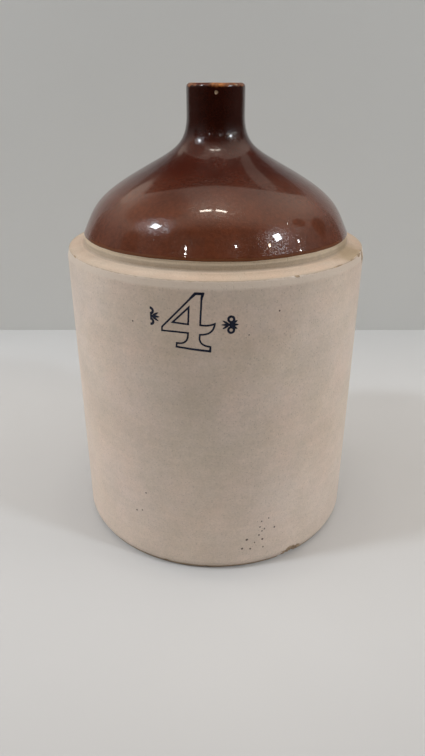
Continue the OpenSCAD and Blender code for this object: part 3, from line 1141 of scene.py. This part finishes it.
@dataclass(frozen=True)
class RawClay(Finish):
    """Fired clay of the foot and of the walls under the glaze."""

    name: str = "bare_clay"
    base: Colour = (0.50, 0.385, 0.275)
    dark: Colour = (0.33, 0.235, 0.155)
    iron: Colour = (0.10, 0.045, 0.02)
    cloud: Mottle = Mottle(22.0, 0.22)
    grain: Grain = Grain(520.0, 0.35)
    specks: Specks = Specks(0.009, 0.08, 0.35)
    rim_w: float = 0.012
    wheel_marks: float = 1900.0

    def wire(self, s: Surface) -> None:
        """Darkens the clay to its rim and drags wheel marks round it."""
        sheet, foot_r = s.sheet, s.sizes.foot_r * MM
        cloud, grain, radius = s.mask(self.cloud), s.add(self.grain), s.polar()["Radius"]
        s.start(sheet.times(cloud, 0.55), self.base, self.dark)
        s.tone(grain["Tone"], 0.25)
        s.cover(self.dark, sheet.eased(radius, foot_r - self.rim_w, foot_r), 0.45)
        s.cover(self.iron, s.mask(self.specks), 0.8)
        wheel = sheet.maths("SINE", sheet.times(radius, self.wheel_marks))
        s.bump(sheet.scaled(wheel, 0.3, s.clouds(70.0)), 0.0003)
        s.bump(grain["Height"], 0.0002)
        s.close(sheet.scaled(cloud, 0.1, 0.74), IOR=1.45)


@dataclass(frozen=True)
class CobaltInk(Finish):
    """Blue-black stamped ink under the glaze, thin in places."""

    name: str = "blue_mark"
    ink: Colour = (0.005, 0.008, 0.023)
    washed: Colour = (0.032, 0.04, 0.07)
    pool: Mottle = Mottle(150.0, 0.14)
    dots: Mottle = Mottle(700.0, 0.2)
    roughness: float = 0.38

    def wire(self, s: Surface) -> None:
        """Lays thin places and fine dots over the ink."""
        sheet, pool, dots = s.sheet, s.mask(self.pool), s.mask(self.dots)
        s.start(sheet.times(pool, 0.55), self.ink, self.washed)
        s.tone(dots, 0.3)
        s.bump(s.clouds(240.0), 0.00009)
        s.bump(dots, 0.00003)
        s.close(sheet.scaled(pool, 0.06, self.roughness), IOR=1.36)


LINER_GLAZE = BrownGlaze(
    name="liner_glaze",
    dome=(0.075, 0.028, 0.016),
    high=(0.06, 0.02, 0.011),
    roughness=0.35,
    coat_roughness=0.12,
    has_lip=False,
)


class Finishes:
    """Makes each finish once and dresses pieces with it."""

    kinds = (PaleGlaze(), BrownGlaze(), LINER_GLAZE, LedgeClay(), RawClay(), CobaltInk())

    def __init__(self, sizes: JugSizes) -> None:
        """Builds all finishes for a jug of some sizes."""
        shelf = EffectShelf()
        self.made = {kind.name: kind.make(shelf, sizes) for kind in self.kinds}

    def dress(self, piece: Piece, finish: str) -> None:
        """Gives a piece one finish all over."""
        piece.data.materials.clear()
        piece.data.materials.append(self.made[finish])


# ---------------------------------------------------------------------------------------------
# Sub-assemblies of the jug
# ---------------------------------------------------------------------------------------------


@dataclass
class JugPart:
    """What every sub-assembly shares: sizes, wear and finishes, and how a piece is handed over."""

    sizes: JugSizes
    wear: Wear
    finishes: Finishes
    nodes: dict[str, Piece]
    round_steps: int = 288
    chip_cuts: int = 2
    drop_share: float = 0.5

    def hand_over(self, piece: Piece, node: str, finish: str, slot: str, angle: float = 35.0) -> None:
        """Dresses a piece, sets it on its body and lets it stand for its solid.

        Args:
            piece: The finished piece.
            node: The solid node that it stands for.
            finish: The finish that it wears.
            slot: Name of a material slot; not used.
            angle: The least angle of an edge that stays sharp, in degrees.
        """
        Bench.hold(piece)
        bpy.ops.object.shade_smooth_by_angle(angle=math.radians(angle))
        self.finishes.dress(piece, finish)
        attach(piece, "root")
        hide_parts(node)
        LOG.info("made %s for %s: %d faces", piece.name, node, len(piece.data.polygons))

    def chip(self, piece: Piece, chips: Sequence[Chip], extra: float, sway: bool) -> None:
        """Breaks the chips out of a piece and gives its wall the wheel's sway.

        Args:
            piece: The piece to wear.
            chips: The chips that reach it.
            extra: How much deeper than the glaze its chips go, in millimetres.
            sway: True for a piece whose outer face is the thrown wall.
        """
        Bench.refine(piece, [chip.near() for chip in chips], self.chip_cuts)
        shares = []
        for vert in piece.data.vertices:
            share, depth = self.wear.chip_share(vert.co, chips)
            shares.append(share)
            inset = depth + (extra if share > 0 else 0.0)
            if sway:
                inset += self.wear.wall_offset(vert.co)
            radius = radius_of(vert.co)
            if radius > 0 and inset > 0:
                scale = 1 - inset * MM / radius
                vert.co.x *= scale
                vert.co.y *= scale
            if vert.co.z > self.sizes.wall_h * MM:
                vert.co.z -= self.drop_share * depth * MM
        Bench.mark_bare(piece, shares)
        piece.data.update()


@dataclass
class HiddenClay(JugPart):
    """The solid nodes that stay as they are, under their coats and inside."""

    clay: tuple[str, ...] = (
        "floor_coil",
        "body_wall",
        "seam_coil",
        "neck_tube",
        "lip_ring",
        "handle_strap",
        "handle_upper_root",
        "handle_lower_root",
    )

    def build(self) -> None:
        """Dresses the clay nodes and the liner."""
        for name in self.clay:
            self.finishes.dress(self.nodes[name], "bare_clay")
        self.finishes.dress(self.nodes["liner_glaze"], "liner_glaze")
        LOG.info("dressed %d solid nodes", len(self.clay) + 1)


@dataclass
class Foot(JugPart):
    """The slab under the jug, with its chipped bare edge."""

    round_over: float = 1.1
    floor_step: float = 12.0
    edge_step: float = 0.7
    wall_step: float = 1.0
    extra: float = 0.15

    def build(self) -> None:
        """Turns the slab, breaks its edge and hands it over."""
        s = self.sizes
        corner, bare_r = s.foot_r - self.round_over, s.body_at(s.foot_bare_h)
        bevel = (s.body_at(s.foot_bevel_h) - s.pale_t, s.foot_bevel_h)
        top = (s.body_at(s.floor_t) - s.pale_t, s.floor_t)
        outline = [Vector((0, 0))] + run((0, 0), (corner, 0), self.floor_step)[1:]
        outline += arc((corner, self.round_over), self.round_over, -90, -25, 4)
        outline += run(outline[-1], (bare_r - 0.05, s.foot_bare_h), self.edge_step)[1:]
        outline += run((bare_r - s.pale_t, s.foot_bare_h), bevel, self.wall_step)
        outline += run(bevel, top, self.wall_step) + [Vector(top), Vector((0, s.floor_t))]
        piece = Bench.turned("foot_slab", outline, False, self.round_steps)
        self.chip(piece, self.wear.foot, self.extra, False)
        self.hand_over(piece, "base_slab", "bare_clay", "bare_clay")


@dataclass
class PaleCoat(JugPart):
    """The off-white glaze of the body and the thin band under the ledge."""

    step: float = 5.0
    corner: float = 0.26
    corner_h: float = 2.4
    lower: float = 0.04
    soft: float = 0.25
    bend_h: float = 0.4
    bend_top: float = 20.0

    def _coat(self, name: str, outer: list[Vector], chips: Sequence[Chip], node: str, slot: str) -> None:
        """Makes one coat of glaze.

        Args:
            name: Name of the new piece.
            outer: Its outer line, as points of radius and height.
            chips: The chips that reach it.
            node: The solid node that it stands for.
            slot: Name of a material slot, handed on.
        """
        inner = [Vector((p.x - self.sizes.pale_t, p.y)) for p in outer]
        piece = Bench.turned(name, outer + inner[::-1], True, self.round_steps)
        self.chip(piece, chips, 0.0, True)
        self.hand_over(piece, node, "pale_glaze", slot)

    def build(self) -> None:
        """Makes the body's coat and the rim's band."""
        s = self.sizes
        low_h, top_r, corner_z = s.foot_bare_h + self.bend_h, s.body_r - self.lower, s.wall_h - self.corner_h
        bend, ring = (s.body_at(self.bend_top), self.bend_top), (s.body_at(s.ring_z), s.ring_z)
        line = [Vector((s.body_at(s.foot_bare_h) - self.soft, s.foot_bare_h))]
        line += run((s.body_at(low_h), low_h), (s.wall_foot_r - self.soft, s.foot_bevel_h - self.bend_h), 1.0)
        line += run((s.wall_foot_r - 0.08, s.foot_bevel_h + self.bend_h), bend, 1.6)
        line += run(bend, ring, self.step) + run(ring, (top_r, corner_z), 1.5)
        line += [Vector((top_r - self.corner * (i / 4) ** 2, corner_z + 0.6 * i)) for i in range(5)]
        self._coat("pale_coat", line, self.wear.foot + self.wear.ledge, "body_glaze", "pale_glaze")
        band = run((top_r - self.corner, s.wall_h), (s.ledge_edge_r + 0.2, s.ledge_edge_z - 1.0), 0.9)
        band += [Vector((s.ledge_edge_r - 0.02, s.ledge_edge_z - 0.35))]
        band += [Vector((s.ledge_edge_r - 0.3, s.ledge_edge_z))]
        self._coat("rim_coat", band, self.wear.ledge, "rim_glaze", "rim_glaze")


@dataclass
class Shoulder(JugPart):
    """The ring with its stacking ledge, and the dome's clay with the bare step."""

    round_r: float = 0.9
    dish: float = 0.35
    dish_steps: int = 8
    ridge: float = 0.16
    dome_steps: int = 192
    extra: float = 0.15

    def _ledge_line(self) -> list[Vector]:
        """Section of the ring, from its outer foot over the ledge to its bore."""
        s = self.sizes
        ring_r, top_r, edge_r = s.body_at(s.ring_z) - s.pale_t, s.body_r - s.pale_t, s.ledge_edge_r - s.pale_t
        bore = DomeLine(s).inside()[0].x
        line = run((ring_r, s.ring_z), (top_r, s.wall_h), 1.5)
        line += run((top_r, s.wall_h), (edge_r, s.ledge_edge_z - 0.6), 1.0)
        line += arc((edge_r - self.round_r, s.ledge_edge_z - 0.75), self.round_r, 10, 80, 4)
        slope = (s.ledge_in_z - s.ledge_edge_z) / (s.ledge_edge_r - s.ledge_in_r)
        start_r = line[-1].x
        for i in range(1, self.dish_steps + 1):
            x = mix(start_r, s.ledge_in_r + 1.2, i / self.dish_steps)
            dish = self.dish * math.sin(math.pi * i / self.dish_steps)
            line.append(Vector((x, s.ledge_edge_z + (s.ledge_edge_r - x) * slope - dish)))
        line += arc((s.ledge_in_r + 1.0, s.ledge_in_z + 0.55), self.round_r, -100, -170, 3)
        line += [Vector((s.ledge_in_r, s.ledge_in_z)), Vector((s.ledge_in_r, s.seat_z)), Vector((bore, s.seat_z))]
        line += [Vector((bore, s.seat_z - s.seat_t)), Vector((ring_r - s.wall_t, s.ring_z))]
        return [Vector((p.x, min(p.y, s.ledge_in_z))) for p in line]

    def _uneven_ledge(self, place: Vector) -> Vector:
        """Lowers the ledge by a little that changes round the jug."""
        if place.z < (self.sizes.ledge_edge_z - 0.4) * MM:
            return place
        drop = 0.25 * humps(place * 60) + 0.12 * humps(place * 260)
        return Vector((place.x, place.y, place.z - drop * MM))

    def _dome_line(self) -> list[Vector]:
        """Section of the dome's clay, whose foot shows as the bare step."""
        s, line = self.sizes, DomeLine(self.sizes)
        inner, step = line.inside(), []
        for share in (i / 8 for i in range(9)):
            ridge = self.ridge * math.sin(math.pi * 3 * share)
            radius = mix(s.ledge_in_r, s.dome_r, share) - self.ridge - ridge
            step.append(Vector((radius, mix(s.ledge_in_z, s.dome_z - 0.25, share))))
        seat = [Vector((inner[0].x, s.seat_z)), Vector((s.ledge_in_r, s.seat_z))]
        seat += [Vector((s.ledge_in_r, s.ledge_in_z - 0.2))]
        return seat + step + line.moved(s.brown_t) + inner[::-1]

    def build(self) -> None:
        """Makes both clay rings."""
        ring = Bench.turned("ledge_ring", self._ledge_line(), True, self.round_steps)
        self.chip(ring, self.wear.ledge, self.extra, False)
        Bench.reshape(ring, self._uneven_ledge)
        self.hand_over(ring, "shoulder_ring", "ledge_clay", "ledge_clay")
        dome = Bench.turned("dome_clay", self._dome_line(), True, self.dome_steps)
        Bench.mark_bare(dome, [])
        self.hand_over(dome, "shoulder_dome", "ledge_clay", "ledge_clay")


@dataclass
class BrownCoat(JugPart):
    """The brown glaze over dome, neck and lip, with its wavy lower edge and worn lip."""

    pit: Vector = field(default_factory=lambda: Vector((0.4, -25.3, 406.3)) * MM)
    pit_r: float = 1.65
    pit_depth: float = 0.42
    edge_wave: float = 0.45
    edge_h: float = 1.5
    lip_h: float = 5.0
    coat_steps: int = 256

    def _bare_at(self, place: Vector) -> float:
        """Share of bare clay in the pit on the neck's front."""
        far = (place - self.pit).length / (self.pit_r * MM) + 0.25 * noise.noise(place * 700)
        return smooth((1.0 - far) * 2.5)

    def _hand_made(self, place: Vector) -> Vector:
        """Moves a point for the wavy edge, the uneven lip and the pit."""
        s, moved, radius = self.sizes, place.copy(), radius_of(place)
        if radius <= 0:
            return moved
        out = Vector((place.x, place.y, 0)) / radius
        if place.z < (s.dome_z + self.edge_h) * MM and radius > (s.dome_r - 3.0) * MM:
            wave = noise.noise(out * 2.2) + 0.6 * noise.noise(out * 7.0 + Vector((3, 0, 0)))
            fade = smooth((s.dome_z + self.edge_h - place.z / MM) / 2.0)
            moved.z += self.edge_wave * wave * fade * MM
        if place.z > (s.top_z - self.lip_h) * MM:
            fade = smooth((place.z / MM - s.top_z + self.lip_h) / 4.0)
            drop = 0.28 * humps(out * 2.6 + Vector((0, 5, 0))) + 0.16 * humps(place * 330)
            moved.z -= drop * fade * MM
            moved -= out * 0.2 * humps(place * 240 + Vector((0, 0, 7))) * fade * MM
        if radius > (s.mouth_r + s.mouth_round) * MM:
            moved -= out * self.pit_depth * self._bare_at(place) * MM
        return moved

    def build(self) -> None:
        """Turns the coat, waves its lower edge, wears the lip and hands it over."""
        s, line = self.sizes, DomeLine(self.sizes)
        outer, under = line.moved(0.0), line.moved(s.brown_t)
        lip = (s.neck_r - s.lip_round, s.top_z - s.lip_round)
        mouth = (s.mouth_r + s.mouth_round, s.top_z - s.mouth_round)
        outline = [under[0] + Vector((0.0, -0.35)), outer[0] + Vector((-0.1, -0.35))]
        outline += [outer[0] + Vector((0.0, 0.1))] + outer[1:]
        outline += run((s.neck_r, s.neck_z), (s.neck_r, lip[1]), 0.8)[1:]
        outline += arc(lip, s.lip_round, 0, 90, 10) + arc(mouth, s.mouth_round, 90, 180, 8)
        outline += arc(mouth, s.mouth_round - s.brown_t, 180, 90, 8)
        outline += arc(lip, s.lip_round - s.brown_t, 90, 0, 8)
        piece = Bench.turned("brown_coat", outline + under[::-1][:-1], True, self.coat_steps)
        Bench.refine(piece, [(self.pit, self.pit_r * 1.6 * MM)], 3)
        Bench.reshape(piece, self._hand_made)
        Bench.mark_bare(piece, [self._bare_at(vert.co) for vert in piece.data.vertices])
        self.hand_over(piece, "top_glaze", "brown_glaze", "brown_glaze", 50.0)


@dataclass
class Handle(JugPart):
    """The pulled strap handle behind the neck, with its thumbed pads, in one brown coat."""

    coat_t: float = 0.75
    voxel: float = 0.9
    groove: float = 0.9
    groove_off: float = 5.0
    groove_w: float = 2.6
    section_steps: int = 64
    solid_steps: int = 14
    into_neck: float = 12.0
    low_end: float = -68.0

    def _section(self) -> list[Vector]:
        """Section of the strap in its own plane: across, and outwards from the arch's centre."""
        half_t = self.sizes.strap_t / 2 + self.coat_t
        straight = (self.sizes.strap_w - self.sizes.strap_t) / 2
        return arc((straight, 0), half_t, -90, 90, 12) + arc((-straight, 0), half_t, 90, 270, 12)

    def _strap(self) -> Piece:
        """Spins the section round the arch, from inside the neck to inside the dome."""
        s = self.sizes
        upper = math.atan2(math.sqrt(s.arch_r**2 - (s.arch_y - s.neck_r) ** 2), s.neck_r - s.arch_y)
        first, last = upper + math.radians(self.into_neck), math.radians(self.low_end)
        centre = Vector((0, s.arch_y, s.arch_z)) * MM
        points = []
        for p in self._section():
            reach = s.arch_r + p.y
            y, z = s.arch_y + reach * math.cos(first), s.arch_z + reach * math.sin(first)
            points.append(Vector((p.x, y, z)) * MM)
        piece = Bench.start("handle_coat")
        Bench.draw(points, True)
        Bench.spin(steps=self.section_steps, angle=first - last, center=centre, axis=(1, 0, 0))
        for angle in (first, last):
            middle = centre + Vector((0, math.cos(angle), math.sin(angle))) * s.arch_r * MM
            way = Vector((0, -math.sin(angle), math.cos(angle)))

            def at_end(vert: bmesh.types.BMVert) -> bool:
                """Tells whether a point lies in the strap's end face."""
                off = vert.co - middle
                return abs(off.dot(way)) < 1e-5 and off.length < s.strap_w * MM

            Bench.select(at_end)
            bpy.ops.mesh.edge_face_add()
        Bench.close()
        return piece

    @staticmethod
    def _pad(name: str, centre: Vector, radius: float) -> Piece:
        """Adds a ball of clay that a strap's end is pressed into."""
        bpy.ops.object.select_all(action="DESELECT")
        bpy.ops.mesh.primitive_uv_sphere_add(segments=48, ring_count=24, radius=radius * MM, location=centre * MM)
        ball = bpy.context.object
        ball.name = name
        bpy.ops.object.transform_apply(location=True, rotation=True, scale=True)
        return ball

    def _pressed(self, place: Vector) -> Vector:
        """Presses two shallow grooves along the strap's outer face."""
        s = self.sizes
        y, z = place.y / MM - s.arch_y, place.z / MM - s.arch_z
        far = math.hypot(y, z)
        if far < s.arch_r + 1.0 or y + z * 0.3 < -14:
            return place
        x = place.x / MM
        dip = sum(math.exp(-(((x - side * self.groove_off) / self.groove_w) ** 2)) for side in (-1, 1))
        inset = self.groove * dip * smooth((far - s.arch_r - 1.0) / 3.0) * 0.55
        return Vector((place.x, place.y - y / far * inset * MM, place.z - z / far * inset * MM))

    def build(self) -> None:
        """Joins strap and pads, softens the joints, cuts them to the jug and hands the coat over."""
        s = self.sizes
        piece = self._strap()
        land_z = s.arch_z + math.sqrt(s.arch_r**2 - (s.arch_y - s.neck_r + s.brown_t) ** 2)
        upper = Vector((0, s.neck_r - s.brown_t + s.upper_pad_rise - s.upper_pad_r, land_z))
        clay = [(p - n * s.brown_t, n) for p, n in DomeLine(s, steps=self.solid_steps).rows()]
        beyond = [row for row in clay if row[0].x > s.arch_y]
        low, normal = min(beyond, key=lambda row: abs((row[0] - Vector((s.arch_y, s.arch_z))).length - s.arch_r))
        seat = low - normal * (s.lower_pad_r - s.lower_pad_rise)
        lower = Vector((0, seat.x, seat.y))
        Bench.join(piece, self._pad("upper_ball", upper, s.upper_pad_r + self.coat_t), "UNION")
        Bench.join(piece, self._pad("lower_ball", lower, s.lower_pad_r + self.coat_t), "UNION")
        Bench.apply(piece, "REMESH", mode="VOXEL", voxel_size=self.voxel * MM)
        Bench.apply(piece, "SMOOTH", factor=0.5, iterations=9)
        core = [Vector((0, s.dome_z - 12)), Vector((s.dome_r - 2.0, s.dome_z - 12))]
        core += DomeLine(s, steps=12).moved(1.6)
        core += [Vector((s.neck_r - 1.6, s.top_z + 8)), Vector((0, s.top_z + 8))]
        Bench.join(piece, Bench.turned("core", core, False, 96), "DIFFERENCE")
        Bench.reshape(piece, self._pressed)
        Bench.mark_bare(piece, [])
        self.hand_over(piece, "handle_glaze", "brown_glaze", "brown_glaze", 60.0)


@dataclass
class Marks(JugPart):
    """The stamped numeral and the two small ornaments, with uneven ink."""

    voxel: float = 0.14
    proud: float = 0.4
    ragged: float = 0.11
    rag_scale: float = 1500
    deepest: float = -0.05

    def _print(self, node: str, name: str, gain: Callable[[Vector], float]) -> None:
        """Makes one mark.

        Args:
            node: The solid mark.
            name: Name of the new piece.
            gain: Extra half width of the ink at a place, in millimetres.
        """
        piece = Bench.copy_of(self.nodes[node], name)
        Bench.apply(piece, "REMESH", mode="VOXEL", voxel_size=self.voxel * MM)
        normals = [v.normal.copy() for v in piece.data.vertices]
        for vert, normal in zip(piece.data.vertices, normals):
            out = Vector((vert.co.x, vert.co.y, 0)).normalized()
            spread = gain(vert.co) + self.ragged * noise.noise(vert.co * self.rag_scale)
            vert.co += (normal - out * normal.dot(out)) * spread * MM
            radius = radius_of(vert.co) / MM
            wall = self.sizes.body_at(vert.co.z / MM)
            height = max(self.deepest, (radius - wall) * self.proud)
            wanted = wall - self.wear.wall_offset(vert.co) + height
            vert.co.x *= wanted / radius
            vert.co.y *= wanted / radius
        piece.data.update()
        self.hand_over(piece, node, "blue_mark", "blue_mark", 60.0)

    def build(self) -> None:
        """Makes all three marks."""
        low, high = (corner.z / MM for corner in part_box("capacity_numeral"))

        def heavy_ends(place: Vector) -> float:
            """More ink at the numeral's top and foot."""
            share = (place.z / MM - low) / (high - low)
            return 0.34 * smooth((share - 0.86) * 9) + 0.28 * smooth((0.1 - share) * 9) + 0.1

        self._print("capacity_numeral", "numeral_ink", heavy_ends)
        self._print("ornament_left", "left_ornament_ink", lambda place: 0.03)
        self._print("ornament_right", "right_ornament_ink", lambda place: -0.08)


# ---------------------------------------------------------------------------------------------
# Stage, light and camera
# ---------------------------------------------------------------------------------------------


@dataclass(frozen=True)
class Lamp:
    """A studio lamp: where it hangs, how large it is and how strong it shines."""

    name: str
    turn: float
    rise: float
    distance: float
    width: float
    height: float
    power: float
    colour: Colour = (1.0, 0.97, 0.93)
    mirrored: bool = True

    def hang(self, aim: Vector) -> None:
        """Hangs the lamp and turns it to a place."""
        rise = math.radians(self.rise)
        way = at_turn(self.turn, math.cos(rise), math.sin(rise)) / MM
        data = bpy.data.lights.new(self.name, "AREA")
        data.shape = "RECTANGLE"
        data.size, data.size_y = self.width, self.height
        data.energy, data.color = self.power, self.colour
        holder = bpy.data.objects.new(self.name, data)
        holder.location = aim + way * self.distance
        holder.rotation_euler = (-way).to_track_quat("-Z", "Y").to_euler()
        holder.visible_glossy = self.mirrored
        bpy.context.scene.collection.objects.link(holder)


@dataclass(frozen=True)
class RoomPatch:
    """A dim or pale part of the room: its direction, its reach, its strength and how pale it is."""

    way: tuple[float, float, float]
    reach: float
    share: float
    pale: bool = False


@dataclass
class Studio:
    """Pale floor and wall, soft surroundings, lamps and the camera."""

    wall_y: float = 0.49
    wall_top: float = 1.0
    wall_half: float = 0.6
    wall_glow_top: float = 0.66
    wall_reach: float = 1.6
    floor_half: float = 4.0
    aim: Vector = field(default_factory=lambda: Vector((0, 0, 0.33)))
    eye: Vector = field(default_factory=lambda: Vector((-0.002783, -0.581223, 0.412444)))
    pitch: float = 25.518
    lens: float = 29.332
    floor_paint: Colour = (0.57, 0.582, 0.59)
    wall_paint: Colour = (0.615, 0.615, 0.597)
    ceiling: Colour = (1.22, 1.05, 0.9)
    shade: Colour = (0.17, 0.145, 0.125)
    aside: Colour = (0.46, 0.44, 0.42)
    dim: Colour = (0.035, 0.03, 0.027)
    backdrop: Colour = (0.46, 0.455, 0.44)
    table_end: float = -0.6
    patches: tuple[RoomPatch, ...] = (
        RoomPatch((-0.53, 0.2, 0.82), 0.36, 0.6),
        RoomPatch((0.78, 0.12, 0.61), 0.11, 1.0),
        RoomPatch((0.86, 0.35, 0.37), 0.15, 1.0),
        RoomPatch((-0.91, -0.11, 0.4), 0.16, 0.9),
        RoomPatch((-0.28, -0.53, 0.8), 0.07, 0.7),
        RoomPatch((0.33, 0.57, 0.75), 0.1, 0.55, True),
        RoomPatch((-0.49, 0.66, 0.57), 0.12, 1.0, True),
    )
    lamps: tuple[Lamp, ...] = (
        Lamp("key_left", -71.0, 46.5, 2.3, 0.24, 0.26, 17.0, (0.86, 0.93, 1.0)),
        Lamp("key_right", 60.5, 34.2, 2.3, 0.24, 0.26, 14.0, (0.86, 0.93, 1.0)),
        Lamp("tube_left", -84.0, 84.6, 1.8, 0.07, 0.2, 1.8, (1.0, 0.93, 0.8)),
        Lamp("tube_right", 70.0, 86.6, 1.8, 0.07, 0.2, 1.8, (1.0, 0.93, 0.8)),
        Lamp("spark_1", -27.5, 34.0, 2.6, 0.045, 0.045, 1.6),
        Lamp("spark_2", 18.5, 35.8, 2.6, 0.05, 0.05, 1.6),
        Lamp("spark_3", 50.0, 31.0, 2.6, 0.05, 0.05, 1.4, (1.0, 0.85, 0.6)),
        Lamp("spark_4", 78.5, 24.2, 2.6, 0.045, 0.045, 1.3),
        Lamp("spark_5", 86.0, 43.0, 2.6, 0.03, 0.03, 0.35),
        Lamp("side_left", -98.0, 12.0, 1.9, 1.5, 1.2, 11.2, (0.97, 0.98, 1.0), False),
        Lamp("side_right", 92.0, 12.0, 1.9, 1.5, 1.2, 5.5, (0.9, 0.95, 1.0), False),
    )

    def _paint(self, name: str, base: Colour, scale: float) -> bpy.types.Material:
        """Matt paint of floor or wall, seen only from its front, that throws light back only near the jug, with
        painted shade towards the front and, for the camera, a painted glow that grows far from the jug.

        Args:
            name: The material's name.
            base: Its colour.
            scale: Scale of its faint clouds.

        Returns:
            The material.
        """
        material = bpy.data.materials.new(name)
        material.use_nodes = True
        sheet = Sheet(material.node_tree)
        place = sheet.place()
        split = sheet.split(place)
        seen = sheet.node("LightPath").outputs["Is Camera Ray"]
        colour = sheet.toned(sheet.clouds(place, scale, 4.0), 0.03, base)
        # Painted shade: the floor darkens towards the front, away from the light.
        colour = sheet.blend(sheet.eased(split["Y"], -0.14, -0.5, 0.0, 0.24), colour, self.dim)
        near = sheet.maths("GREATER_THAN", split["Y"], self.table_end)
        low = sheet.eased(split["Z"], self.wall_top, 0.35, 0.12, 1.0)
        colour = sheet.blend(sheet.most(sheet.times(near, low), seen), self.dim, colour)
        # Painted light: seen by the camera, floor and wall glow more the farther they lie from the jug.
        glow = sheet.times(sheet.eased(sheet.apart(place, (0.0, 0.0, 0.0)), 1.0, 3.2, 0.0, 0.42), seen)
        shine = {"Base Color": colour, "Roughness": 0.55, "Emission Color": colour, "Emission Strength": glow}
        paint = sheet.node("BsdfPrincipled", shine).outputs["BSDF"]
        clear = sheet.node("BsdfTransparent").outputs["BSDF"]
        back = sheet.node("NewGeometry").outputs["Backfacing"]
        front = sheet.node("MixShader", {0: back, 1: paint, 2: clear}).outputs["Shader"]
        sheet.node("OutputMaterial", {"Surface": front})
        return material

    @staticmethod
    def _board(name: str, middle: tuple[float, ...], size: Pair, turn: float, paint: bpy.types.Material) -> Piece:
        """Adds a flat board of the stage.

        Args:
            name: Its name.
            middle: Its middle.
            size: Its width and its length or height.
            turn: How far it is tilted up, in radians.
            paint: Its paint.

        Returns:
            The board.
        """
        bpy.ops.object.select_all(action="DESELECT")
        bpy.ops.mesh.primitive_plane_add(size=1, location=middle, rotation=(turn, 0, 0))
        board = bpy.context.object
        board.name = name
        board.scale = (*size, 1)
        bpy.ops.object.transform_apply(location=True, rotation=True, scale=True)
        board.data.materials.append(paint)
        return board

    def _boards(self) -> None:
        """Sets up the floor, the wall that throws light back, and the wide one that only the camera sees."""
        floor = self._paint("pale_floor", self.floor_paint, 3.0)
        wall = self._paint("pale_wall", self.wall_paint, 2.0)
        span = (self.floor_half * 2, self.floor_half * 2)
        self._board("floor", (0, self.wall_y - self.floor_half, 0), span, 0, floor)
        glow = (self.wall_half * 2, self.wall_glow_top)
        self._board("wall", (0, self.wall_y, self.wall_glow_top / 2), glow, math.pi / 2, wall)
        beyond = (self.wall_reach * 2, self.wall_top)
        wide = self._board("wall_beyond", (0, self.wall_y + 0.002, self.wall_top / 2), beyond, math.pi / 2, wall)
        for ray in ("visible_diffuse", "visible_glossy", "visible_shadow"):
            setattr(wide, ray, False)

    def _surroundings(self) -> None:
        """Soft light from all round: a pale ceiling that ends behind the jug, and a dim room in front."""
        world = bpy.data.worlds.new("soft_room")
        bpy.context.scene.world = world
        world.use_nodes = True
        sheet = Sheet(world.node_tree)
        way = sheet.node("TexCoord").outputs["Generated"]
        split = sheet.split(way)
        rise = sheet.most(split["Z"], 0.05)
        along, back = (sheet.maths("DIVIDE", split[axis], rise) for axis in "XY")
        aside = sheet.eased(sheet.maths("ABSOLUTE", split["X"]), 0.4, 0.9)
        aside = sheet.times(aside, sheet.eased(split["Z"], 0.05, 0.42, 0.1, 1.0))
        low = sheet.blend(aside, self.dim, self.aside)
        high = sheet.blend(sheet.eased(back, -0.66, -0.1), self.shade, self.ceiling)
        colour = sheet.blend(sheet.eased(split["Z"], 0.3, 0.72), low, high)
        edge = sheet.scaled(sheet.times(along, along), 0.97, 0.41)
        colour = sheet.blend(sheet.eased(sheet.less(back, edge), -0.012, 0.012), colour, self.dim)
        for patch in self.patches:
            far = sheet.apart(way, patch.way)
            share = sheet.eased(far, patch.reach * 1.1, patch.reach * 0.75, 0.0, patch.share)
            colour = sheet.blend(share, colour, self.ceiling if patch.pale else self.dim)
        colour = sheet.blend(sheet.node("LightPath").outputs["Is Camera Ray"], colour, self.backdrop)
        light = sheet.node("Background", {"Color": colour, "Strength": 1.0}).outputs["Background"]
        sheet.node("OutputWorld", {"Surface": light})

    def _camera(self) -> None:
        """Sets the camera at the photo's viewing angle."""
        data = bpy.data.cameras.new("photo_view")
        data.lens, data.sensor_width, data.clip_start = self.lens, 36.0, 0.01
        camera = bpy.data.objects.new("photo_view", data)
        camera.location = self.eye
        camera.rotation_euler = (math.radians(90 - self.pitch), 0, 0)
        bpy.context.scene.collection.objects.link(camera)
        bpy.context.scene.camera = camera
        bpy.context.scene.view_settings.view_transform = "Standard"

    def build(self) -> None:
        """Sets the stage, the light and the camera."""
        self._boards()
        self._surroundings()
        for lamp in self.lamps:
            lamp.hang(self.aim)
        self._camera()
        LOG.info("stage, %d lamps and camera are set", len(self.lamps))


def main() -> None:
    """Builds the jug round its frame, then the stage."""
    logging.basicConfig(level=logging.INFO, format="%(name)s: %(message)s")
    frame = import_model()
    sizes = JugSizes()
    shared = (sizes, Wear(), Finishes(sizes), frame["nodes"])
    for part in (HiddenClay, Foot, PaleCoat, Shoulder, BrownCoat, Handle, Marks):
        part(*shared).build()
    Studio().build()


if __name__ == "__main__":
    main()
